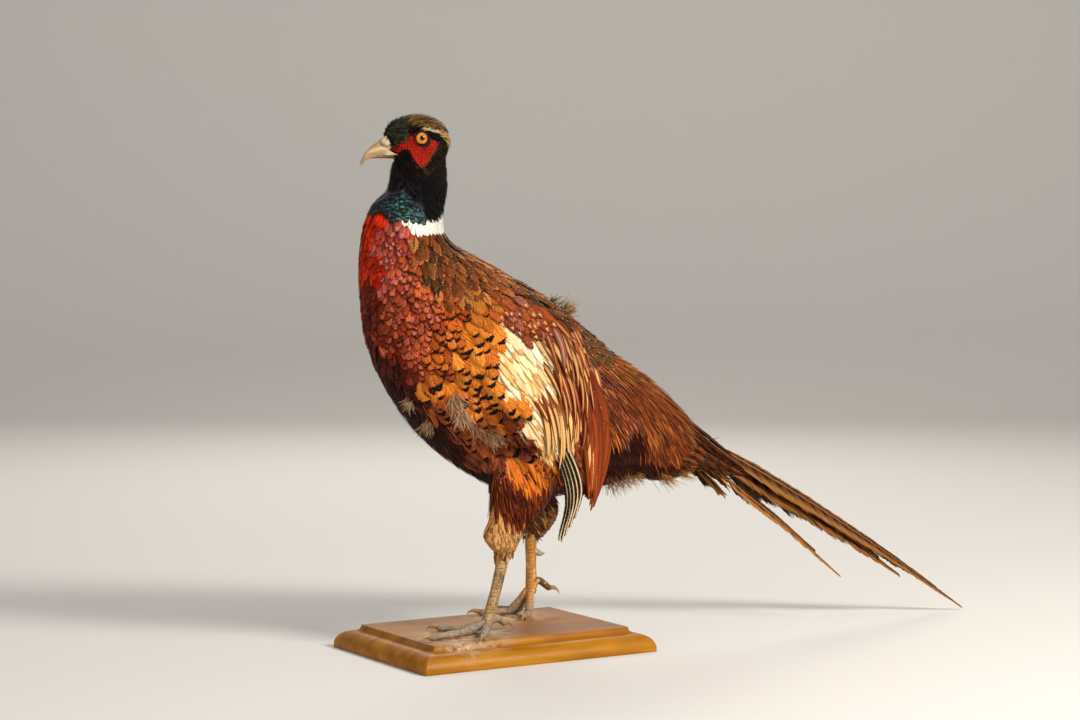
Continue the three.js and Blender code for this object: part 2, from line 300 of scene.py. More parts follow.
def feather_look(name, **constants):
    """Feathers carry their own colours: base, edge and spot, and the spot's form, as attributes.

    vane holds the place across the vane (-1 to 1), along it (0 to 1) and the feather's own number,
    and span holds the same place in mm.
    """
    look = Look(name, **constants)
    base = look.attribute("base")["Color"]
    edge = look.attribute("edge")
    spot = look.attribute("spot")
    form = look.attribute("form")
    first, last, first_half = look.split(form["Color"], "Color")
    off_middle, along, number = look.split(look.attribute("vane")["Vector"])
    aside, forward, _ = look.split(look.attribute("span")["Vector"])
    across = abs(off_middle)
    reach = abs(aside)

    # Barbs run outwards and forwards from the shaft: streaks at a slant.
    slant = reach.times(BARB_LEAN, forward)
    barbs = look.noise(look.vector(slant * 1.6, reach * 0.22, number * 37.0), 1.0, 3.0, 0.6)
    tone = barbs.times(2 * BARB_TONE, 1 - BARB_TONE)
    ragged = barbs.times(0.22, -0.11)

    # The spot widens or narrows from its first half-width to its last between its two ends.
    share = (along - first) / (last - first).or_more(0.01)
    half = Value(look, look.add("Mix", {0: share, 2: first_half, 3: form["Alpha"]}).outputs[0])
    in_width = (half + ragged - across).step(-0.05, 0.05)
    started = (share + ragged).step(0.0, 0.12)
    ended = (share + ragged).step(0.95, 1.05)
    on_spot = in_width * (started * (1.0 - ended))

    # The edge follows the rim of the outer half of the vane.
    width = Value(look, edge["Alpha"])
    rim = (across * along.step(0.3, 0.62)).or_more(along)
    on_edge = (rim - (1.0 - width) + ragged).step(0.0, 0.07) * width.step(0.0, 0.02)

    colour = look.mix(on_spot, base, spot["Color"])
    colour = look.mix(on_edge, colour, edge["Color"])
    on_shaft = (1.0 - reach.step(0.12, 0.34)) * (1.0 - along.step(0.8, 0.95))
    on_shaft = on_shaft * (Value(look, spot["Alpha"]) * SHAFT_SHOWS)
    colour = look.mix(on_shaft, colour, SHAFT_COLOUR)
    # Each vane darkens towards its root, to about half its colour there: painted shade where the feathers
    # above cover it.
    look.colour(look.shaded(colour, tone * along.step(0.0, 0.5).times(0.45, 0.55)))
    look.bump(barbs, 0.35, 0.0006)
    return look.material


# ------------------------------------------------------------------ camera, light and floor
CAMERA_AT = (-1.107, -1.897, 0.380)
CAMERA_TURN = math.radians(-31.3)
CAMERA_DIP = math.radians(3.35)
DAYLIGHT = (0.93, 0.90, 0.85, 1)
DAYLIGHT_STRENGTH = 0.36
LAMPS_AIM = (0.05, 0, 0.22)
LAMPS = [  # name, place, size, power, colour
    ("key", (0.75, -1.75, 1.30), 0.55, 52, (1.0, 0.94, 0.86)),
    ("fill", (-1.9, -1.2, 0.9), 1.8, 14, (0.97, 0.98, 1.0)),
    ("rim", (0.9, 1.6, 1.5), 0.9, 18, (1.0, 0.96, 0.9)),
]
FLOOR_NEAR, WALL_FAR, WALL_TOP = -6.0, 3.2, 5.0
FLOOR_BEND = 0.8
FLOOR_HALF_WIDTH = 6
FLOOR_COLOUR = srgb(222, 220, 217)


def set_camera():
    """The photo's camera, fitted to the corners of the base."""
    scene = bpy.context.scene
    camera = show("camera", bpy.data.cameras.new("camera"), CAMERA_AT)
    camera.data.lens = 85
    camera.data.sensor_width = 36
    camera.data.clip_end = 30
    camera.rotation_euler = (math.radians(90) - CAMERA_DIP, 0, CAMERA_TURN)
    scene.camera = camera
    scene.view_settings.view_transform = "Standard"  # colours as they are, without a film's curve


def set_lights():
    """A dim sky and three lamps, the strongest one from the photo's side."""
    world = bpy.data.worlds.new("studio")
    world.use_nodes = True
    sky = world.node_tree.nodes["Background"]
    sky.inputs["Color"].default_value = DAYLIGHT
    sky.inputs["Strength"].default_value = DAYLIGHT_STRENGTH
    bpy.context.scene.world = world
    for name, where, size, power, colour in LAMPS:
        light = bpy.data.lights.new(name, "AREA")
        light.size = size
        light.energy = power
        light.color = colour
        lamp = show(name, light, where)
        aim = Vector(LAMPS_AIM) - lamp.location
        lamp.rotation_euler = aim.to_track_quat("-Z", "Y").to_euler()


def set_floor():
    """A pale floor that curves up into a pale wall far behind."""
    profile = [(FLOOR_NEAR, 0.0)]
    for turn in (math.pi / 2 * k / 12 for k in range(13)):
        profile.append((WALL_FAR - FLOOR_BEND + FLOOR_BEND * math.sin(turn),
                        FLOOR_BEND - FLOOR_BEND * math.cos(turn)))
    profile.append((WALL_FAR, WALL_TOP))
    across = Vector((math.cos(CAMERA_TURN), math.sin(CAMERA_TURN), 0))
    away = Vector((-across.y, across.x, 0))
    points = []
    for distance, height in profile:
        middle = away * distance
        for side in (-1, 1):
            points.append(middle + across * side * FLOOR_HALF_WIDTH + Vector((0, 0, height)))
    faces = [(2 * k, 2 * k + 1, 2 * k + 3, 2 * k + 2) for k in range(len(profile) - 1)]
    mesh = bpy.data.meshes.new("backdrop")
    mesh.from_pydata(points, [], faces)
    shade_smooth(mesh)
    look = Look("pale_floor", Roughness=0.9, Specular_IOR_Level=0.1)
    look.colour(FLOOR_COLOUR)
    mesh.materials.append(look.material)
    show("backdrop", mesh)


set_camera()
set_lights()
set_floor()




# ------------------------------------------------------------------ the skin under the feathers
def relax(values, edges, rounds):
    """Averages per-vertex values with their neighbours'."""
    count = np.bincount(edges.ravel(), minlength=len(values)).astype(float)
    count = np.maximum(count, 1)
    shape = (-1,) + (1,) * (values.ndim - 1)
    for _ in range(rounds):
        total = np.zeros_like(values)
        np.add.at(total, edges[:, 0], values[edges[:, 1]])
        np.add.at(total, edges[:, 1], values[edges[:, 0]])
        values = 0.5 * values + 0.5 * total / count.reshape(shape)
    return values


def off_segment(places, a, b):
    """Distance from the straight line between a and b."""
    along = np.clip(((places - a) @ (b - a)) / ((b - a) @ (b - a)), 0, 1)
    return np.linalg.norm(places - a - along[:, None] * (b - a), axis=1)


def coat_depth(points):
    """How far the skin lies under the tips of the coat, in mm."""
    x, y, z = points.T
    side = np.abs(y)
    depth = 1.7 + 1.5 * smooth(-z, -405, -345)  # thin on the head, full from the breast down
    ridge = smooth(x, -60, -20) * smooth(-side, -40, -15) * smooth(z, 170, 200)
    depth -= 1.6 * ridge  # the feathers along the back stand a little
    depth += 2.4 * smooth(x, 95, 170) * smooth(-z, -200, -165)  # the rump's long plumes
    under_rump = smooth(x, 62, 92) * smooth(-x, -172, -140) * smooth(-z, -172, -146)
    depth += 8.5 * under_rump * smooth(-side, -58, -46)
    legs = smooth(-z, -150, -112)
    depth = depth * (1 - legs) + 2.6 * legs
    face = smooth(-np.abs(wattle_distance(points)), -4.0, 0.0) * (z > HEAD_FROM)
    depth = depth * (1 - face) + 1.1 * face
    return depth * (1 - 0.15 * smooth(side, 58, 70))


WATTLE = np.array([  # the bare red face, backwards and up from between the eyes, in the head's frame
    (-24.0, -8.0), (-20.5, -3.4), (-14.6, 1.2), (-9.1, 3.2), (-5.2, 4.9), (0.0, 5.6), (4.6, 4.2),
    (7.2, 0.6), (9.5, -1.0), (16.2, -1.9), (11.6, -9.8), (6.4, -19.0), (1.4, -23.6), (-3.2, -22.6),
    (-6.8, -18.2), (-9.0, -13.2), (-11.6, -9.4), (-15.5, -10.0), (-18.6, -12.2), (-22.6, -10.6)])
WATTLE_FAR = 40.0


def wattle_distance(points):
    """Distance to the rim of the bare face in the head's side view: positive inside it."""
    local = to_head(points)
    flat = local[:, [0, 2]]
    best = np.full(len(points), 1e9)
    inside = np.zeros(len(points), bool)
    for a, b in zip(WATTLE, np.roll(WATTLE, -1, 0)):
        best = np.minimum(best, off_segment(flat, a, b))
        crosses = (a[1] > flat[:, 1]) != (b[1] > flat[:, 1])
        slope = (b[0] - a[0]) / (b[1] - a[1] + 1e-12)
        inside ^= crosses & (flat[:, 0] < a[0] + slope * (flat[:, 1] - a[1]))
    far = (np.linalg.norm(local, axis=1) > WATTLE_FAR) | (np.abs(local[:, 1]) < HEAD_HALF)
    return np.where(far, -WATTLE_FAR, np.where(inside, best, -best))


def on_side(local):
    """Whether places in the head's frame are on one of its sides, away from its middle."""
    return np.abs(local[:, 1]) > HEAD_HALF


def eye_distance(points):
    """Distance from the axis through both eyes, in mm."""
    local = to_head(points)
    return np.hypot(local[:, 0], local[:, 2])


def remeshed_flesh():
    """All solids of flesh joined and remeshed as one."""
    joined = bmesh.new()
    for node in FLESH + ["eye_left", "eye_right"]:
        joined.from_mesh(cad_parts[node].data)
    mesh = bpy.data.meshes.new("flesh")
    joined.to_mesh(mesh)
    joined.free()
    flesh = show("flesh", mesh)
    remesh = flesh.modifiers.new("remesh", "REMESH")
    remesh.mode = "VOXEL"
    remesh.voxel_size = SKIN_VOXEL * MM
    baked = bpy.data.meshes.new_from_object(flesh.evaluated_get(bpy.context.evaluated_depsgraph_get()))
    bpy.data.objects.remove(flesh)
    bpy.data.meshes.remove(mesh)
    return baked


def refine_head(mesh):
    """Splits the faces round the bare face and the eyes into small ones."""
    work = bmesh.new()
    work.from_mesh(mesh)
    for _ in range(2):
        points = np.array([v.co[:] for v in work.verts]) / MM
        chosen = (wattle_distance(points) > -2.5) & on_side(to_head(points))
        work.verts.ensure_lookup_table()
        edges = [e for e in work.edges if chosen[e.verts[0].index] and chosen[e.verts[1].index]]
        bmesh.ops.subdivide_edges(work, edges=edges, cuts=1, use_grid_fill=True, smooth=0.0)
        work.verts.index_update()
    bmesh.ops.triangulate(work, faces=[f for f in work.faces if len(f.verts) > 4])
    work.to_mesh(mesh)
    work.free()


RAY_LENGTH = 60.0
RAY_START = 0.4  # how far under the skin a ray through the body starts
MOST_INSET = 0.3  # the inset of the skin, as a share of the body's thickness there


def make_skin():
    """The skin: the flesh as one mesh, inset by the depth of the coat, with the face in relief."""
    mesh = remeshed_flesh()
    edges = read_edges(mesh)
    points = relax(read_points(mesh), edges, 6)
    write_points(mesh, points)
    mesh.update()

    # The inset is held back where the body is thin, as at a wing's edge.
    normals = read_normals(mesh)
    tree = BVHTree.FromPolygons([Vector(p) for p in points], [tuple(f.vertices) for f in mesh.polygons])
    thickness = np.full(len(points), RAY_LENGTH)
    for i, (p, n) in enumerate(zip(points, normals)):
        inwards = Vector(-n)
        hit = tree.ray_cast(Vector(p) + inwards * RAY_START, inwards, RAY_LENGTH)
        if hit[0] is not None:
            thickness[i] = hit[3] + RAY_START
    depth = np.minimum(coat_depth(points), MOST_INSET * thickness)
    depth = relax(depth, edges, 8)
    points = points - unit(relax(normals, edges, 3)) * depth[:, None]
    write_points(mesh, points)
    mesh.update()
    refine_head(mesh)
    shape_face(mesh)
    return mesh


CELL_SHIFTS = ((12.9898, 78.233, 43758.5453), (39.346, 11.135, 24634.6345))  # large, to look random


def pebbles(u, v, cell, top, uneven=0.0):
    """The height, from 0 to 1, of small round bumps on a jittered grid. top is the flat middle."""
    u, v = u / cell, v / cell
    height = np.zeros(np.broadcast(u, v).shape)
    for du in (-1, 0, 1):
        for dv in (-1, 0, 1):
            cell_u, cell_v = np.floor(u) + du, np.floor(v) + dv
            shift_u, shift_v = (np.modf(np.abs(np.sin(cell_u * a + cell_v * b) * scale))[0]
                                for a, b, scale in CELL_SHIFTS)
            away = np.hypot(u - cell_u - 0.2 - 0.6 * shift_u, v - cell_v - 0.2 - 0.6 * shift_v)
            bump = smooth(-away, -0.72, -top) * (1 - uneven + uneven * shift_v)
            height = np.maximum(height, bump)
    return height


def papillae(local):
    """The grains of the bare face."""
    return pebbles(local[:, 0], local[:, 2], 1.15, 0.12, 0.4)


def lid_share(points):
    """1 on the dark lids round an eye: a thin ring, broad behind and below the eye."""
    local = to_head(points)
    from_axis = eye_distance(points)
    low_rear = np.maximum(0, (0.75 * local[:, 0] - 0.66 * local[:, 2]) / np.maximum(from_axis, 0.1))
    reach = EYE_OPENING + 0.8 + 2.9 * low_rear**2
    return smooth(-from_axis, -reach - 0.35, -reach + 0.35) * on_side(local)


def shape_face(mesh):
    """Raises the bare face's rim, papillae and lids, and opens the skin round each eye."""
    points = read_points(mesh)
    normals = read_normals(mesh)
    rim = wattle_distance(points)
    from_axis = eye_distance(points)
    local = to_head(points)
    sided = on_side(local)
    bare = smooth(rim, -0.6, 1.6) * sided
    folds = np.sin(0.62 * np.hypot(local[:, 0] + 3, local[:, 2] + 1) - 0.9) * 0.28
    push = bare * (0.3 + 0.8 * papillae(local) + folds)

    # Lids: two soft rings just outside the eye's opening, then the skin turns in behind it.
    ring = np.exp(-((from_axis - EYE_OPENING - 0.75) / 0.5) ** 2) * sided
    outer = np.exp(-((from_axis - EYE_OPENING - 2.6) / 0.7) ** 2) * sided * lid_share(points)
    groove = np.exp(-((from_axis - EYE_OPENING - 1.7) / 0.4) ** 2) * sided
    push = push * smooth(from_axis, EYE_OPENING + 0.4, EYE_OPENING + 3.0)
    push += 0.85 * ring + 0.5 * outer - 0.3 * groove
    points = points + normals * push[:, None]

    # Inside the opening the skin sinks behind the eyeball's surface.
    local = to_head(points)
    ball = np.sqrt(np.maximum(EYE_RADIUS**2 - np.minimum(from_axis, EYE_RADIUS) ** 2, 0)) + EYE_OFFSET
    near = sided & (from_axis < EYE_RADIUS + 1.2)
    hole = smooth(-from_axis, -EYE_OPENING - 0.25, -EYE_OPENING + 0.15) * sided
    over = smooth(from_axis, EYE_OPENING - 0.2, EYE_OPENING + 0.3) * near
    side = np.sign(local[:, 1])
    lifted = np.where(np.abs(local[:, 1]) < ball + 0.35, side * (ball + 0.35), local[:, 1])
    new_y = local[:, 1] * (1 - over) + lifted * over
    new_y = new_y * (1 - hole) + side * (ball - 1.6) * hole
    local[:, 1] = np.where(near, new_y, local[:, 1])
    points = np.where(near[:, None], from_head(local), points)
    write_points(mesh, points)
    mesh.update()


# ------------------------------------------------------------------ the lie of the feathers
GUIDES = [  # a place on the bird's left half, and which way the feathers lie there
    ((-98, 0, 452), (0.8, 0, 0.6)), ((-76, 0, 462), (1, 0, 0)), ((-52, 0, 452), (0.7, 0, -0.7)),
    ((-92, -12, 446), (1, 0, 0.15)), ((-70, -16, 450), (1, 0, -0.15)), ((-50, 0, 430), (0.1, 0, -1)),
    ((-60, -15, 430), (0.6, 0, -0.8)), ((-78, -17, 420), (0.45, 0, -0.9)), ((-97, 0, 420), (0.7, 0, -0.7)),
    ((-95, -10, 432), (1, 0, -0.5)), ((-102, 0, 405), (0, 0, -1)), ((-80, -24, 400), (0, 0, -1)),
    ((-52, -8, 400), (0.05, 0, -1)), ((-118, 0, 384), (-0.5, 0, -0.85)),
    ((-104, -24, 380), (-0.3, -0.2, -1)), ((-72, -34, 372), (0.1, -0.3, -1)),
    ((-50, -10, 362), (0.45, 0, -0.9)), ((-125, 0, 345), (-0.05, 0, -1)), ((-126, 0, 305), (0.05, 0, -1)),
    ((-118, 0, 255), (0.35, 0, -1)), ((-98, 0, 215), (0.6, 0, -0.8)), ((-60, 0, 177), (0.8, 0, -0.6)),
    ((-15, 0, 148), (0.9, 0, -0.4)), ((40, 0, 130), (1, 0, -0.1)), ((110, 0, 130), (1, 0, 0)),
    ((180, 0, 136), (1, 0, 0.05)), ((-100, -40, 330), (0.12, 0, -1)), ((-85, -52, 285), (0.3, 0, -1)),
    ((-75, -48, 240), (0.42, 0, -0.9)), ((-50, -40, 195), (0.6, 0, -0.8)),
    ((-60, -55, 320), (0.35, 0, -0.95)), ((-50, -60, 270), (0.55, 0, -0.85)),
    ((-40, -58, 225), (0.6, 0, -0.8)), ((-10, -55, 185), (0.45, 0, -0.9)),
    ((-30, -30, 345), (0.75, -0.15, -0.6)), ((5, -25, 322), (0.8, 0, -0.6)),
    ((50, -20, 298), (0.82, 0, -0.57)), ((95, -20, 265), (0.8, 0, -0.6)),
    ((140, -20, 238), (0.75, 0, -0.65)), ((195, -15, 195), (0.75, 0, -0.65)),
    ((-28, -58, 305), (0.55, 0, -0.85)), ((10, -62, 290), (0.6, 0, -0.8)),
    ((-20, -66, 260), (0.5, 0, -0.87)), ((20, -68, 250), (0.5, 0, -0.87)), ((10, -68, 210), (0.5, 0, -0.87)),
    ((45, -68, 210), (0.42, 0, -0.9)), ((45, -66, 165), (0.36, 0, -0.93)), ((62, -60, 140), (0.3, 0, -0.95)),
    ((80, -50, 240), (0.6, 0, -0.8)), ((110, -50, 205), (0.45, 0, -0.9)), ((150, -45, 195), (0.45, 0, -0.9)),
    ((190, -30, 175), (0.6, 0, -0.8)), ((130, -35, 155), (0.4, 0, -0.9)), ((80, -40, 145), (0.3, 0, -0.95)),
    ((10, -58, 155), (0.1, 0, -1)), ((0, -56, 130), (-0.1, 0, -1)), ((-14, -50, 105), (-0.05, 0, -1)),
    ((40, -50, 145), (0.2, 0, -1)), ((60, -46, 115), (0.1, 0, -1)),
]
GUIDE_REACH = 26.0
AT_ONCE = 20000  # points worked on at a time


def lie_field(points, normals):
    """The lie at points on the skin, as unit vectors in the surface."""
    places = np.array([g[0] for g in GUIDES], float)
    ways = unit(np.array([g[1] for g in GUIDES], float))
    mirror = np.array([1.0, -1.0, 1.0])
    places = np.vstack([places, places * mirror])
    ways = np.vstack([ways, ways * mirror])
    field = np.zeros_like(points)
    for start in range(0, len(points), AT_ONCE):
        some = points[start:start + AT_ONCE]
        square = ((some[:, None] - places[None]) ** 2).sum(2)
        square -= square.min(1, keepdims=True)
        weight = np.exp(-square / (2 * GUIDE_REACH**2))
        field[start:start + AT_ONCE] = weight @ ways
    field -= normals * (field * normals).sum(1, keepdims=True)
    return unit(field)


TRIES = 5  # random places for each root that is wanted
CLEARANCE = 0.86  # between two roots, as a share of their spacing
PAST_RIM = 0.55  # a step that ends this far off the skin, as a share of itself, is past a rim
MOST_SINK = 0.4  # how far a soft feather sinks in one step at most, as a share of it


class Skin:
    """The finished skin with what the feathers need to know about it."""

    def __init__(self, mesh):
        points = read_points(mesh)
        edges = read_edges(mesh)
        normals = unit(relax(read_normals(mesh), edges, 4))
        mesh.calc_loop_triangles()
        tris = read(mesh.loop_triangles, "vertices", 3, np.int32)
        loops = read(mesh.loop_triangles, "loops", 3, np.int32)
        corners = points[tris]
        self.centre = corners.mean(1)
        span = np.cross(corners[:, 1] - corners[:, 0], corners[:, 2] - corners[:, 0])
        self.area = np.linalg.norm(span, axis=1) / 2
        self.normal = unit(normals[tris].mean(1))
        self.lie = lie_field(self.centre, self.normal)
        self.corners = corners
        self.tree = BVHTree.FromPolygons([Vector(p) for p in points], tris.tolist())
        self.normal_list = [Vector(n) for n in self.normal]
        self.lie_list = [Vector(d) for d in self.lie]
        self.uv = read(mesh.uv_layers["OFBake"].data, "uv", 2)[loops].mean(1)

    def uv_near(self, point):
        return self.uv[self.tree.find_nearest(Vector(point))[2]]

    def roots(self, spacing, allowed, seed):
        """Scattered roots at about the given spacing (one for each triangle) where allowed."""
        rng = np.random.default_rng(seed)
        weight = self.area * allowed / spacing**2
        count = int(weight.sum() * TRIES)
        chosen = rng.choice(len(weight), count, p=weight / weight.sum())
        a, b = rng.random(count), rng.random(count)
        over = a + b > 1
        a, b = np.where(over, 1 - a, a), np.where(over, 1 - b, b)
        c = self.corners[chosen]
        spots = c[:, 0] + a[:, None] * (c[:, 1] - c[:, 0]) + b[:, None] * (c[:, 2] - c[:, 0])
        finder = KDTree(count)
        for i, p in enumerate(spots):
            finder.insert(p, i)
        finder.balance()
        radius = spacing[chosen] * CLEARANCE
        free = np.ones(count, bool)
        kept = []
        for i in range(count):
            if not free[i]:
                continue
            kept.append(i)
            for _, j, _ in finder.find_range(spots[i], radius[i]):
                free[j] = False
        return spots[kept], chosen[kept]

    def spines(self, spots, faces, lengths, shares, turns, stiff):
        """Walks each feather's middle over the skin: its points, normals and ways. A stiff one sinks
        only a little in each step where the skin falls away."""
        rows = len(shares)
        points = np.zeros((len(spots), rows, 3))
        normals = np.zeros_like(points)
        ways = np.zeros_like(points)
        steps = np.diff(shares)
        find = self.tree.find_nearest
        for f in range(len(spots)):
            p = Vector(spots[f])
            n = self.normal_list[faces[f]]
            d = self.lie_list[faces[f]].copy()
            d.rotate(Matrix.Rotation(turns[f], 3, n))
            for k in range(rows):
                points[f, k] = p
                normals[f, k] = n
                ways[f, k] = d
                if k == rows - 1:
                    break
                step = lengths[f] * steps[k]
                q = p + d * step
                near, _, index, gap = find(q)
                sink = (q - near).dot(n)
                if gap > PAST_RIM * step:  # the feather goes on straight
                    p = q
                    continue
                limit = (1 - stiff[f]) * MOST_SINK * step
                p = near if sink < limit else near + (q - near) * (1 - limit / sink)
                n = (n * 0.25 + self.normal_list[index] * 0.75).normalized()
                d = d * 0.7 + self.lie_list[index] * 0.3
                d = (d - n * d.dot(n)).normalized()
        return points, normals, ways


# ------------------------------------------------------------------ the plumage
@dataclass
class Plume:
    """One kind of feather. Lengths in mm; colours are sRGB; form is the spot's start and end along
    the vane and its half-width at both, as shares of the vane."""
    piece: str
    layout: str
    gap: float
    long: float
    half: float
    rise: float
    outline: str
    base: tuple
    edge: tuple
    edge_width: float = 0.0
    spot: tuple = (0, 0, 0)
    form: tuple = (0.0, 0.0, 0.0, 0.0)
    spotted: float = 1.0
    shaft: float = 0.0
    tone: float = 0.1  # how much one feather differs from the next


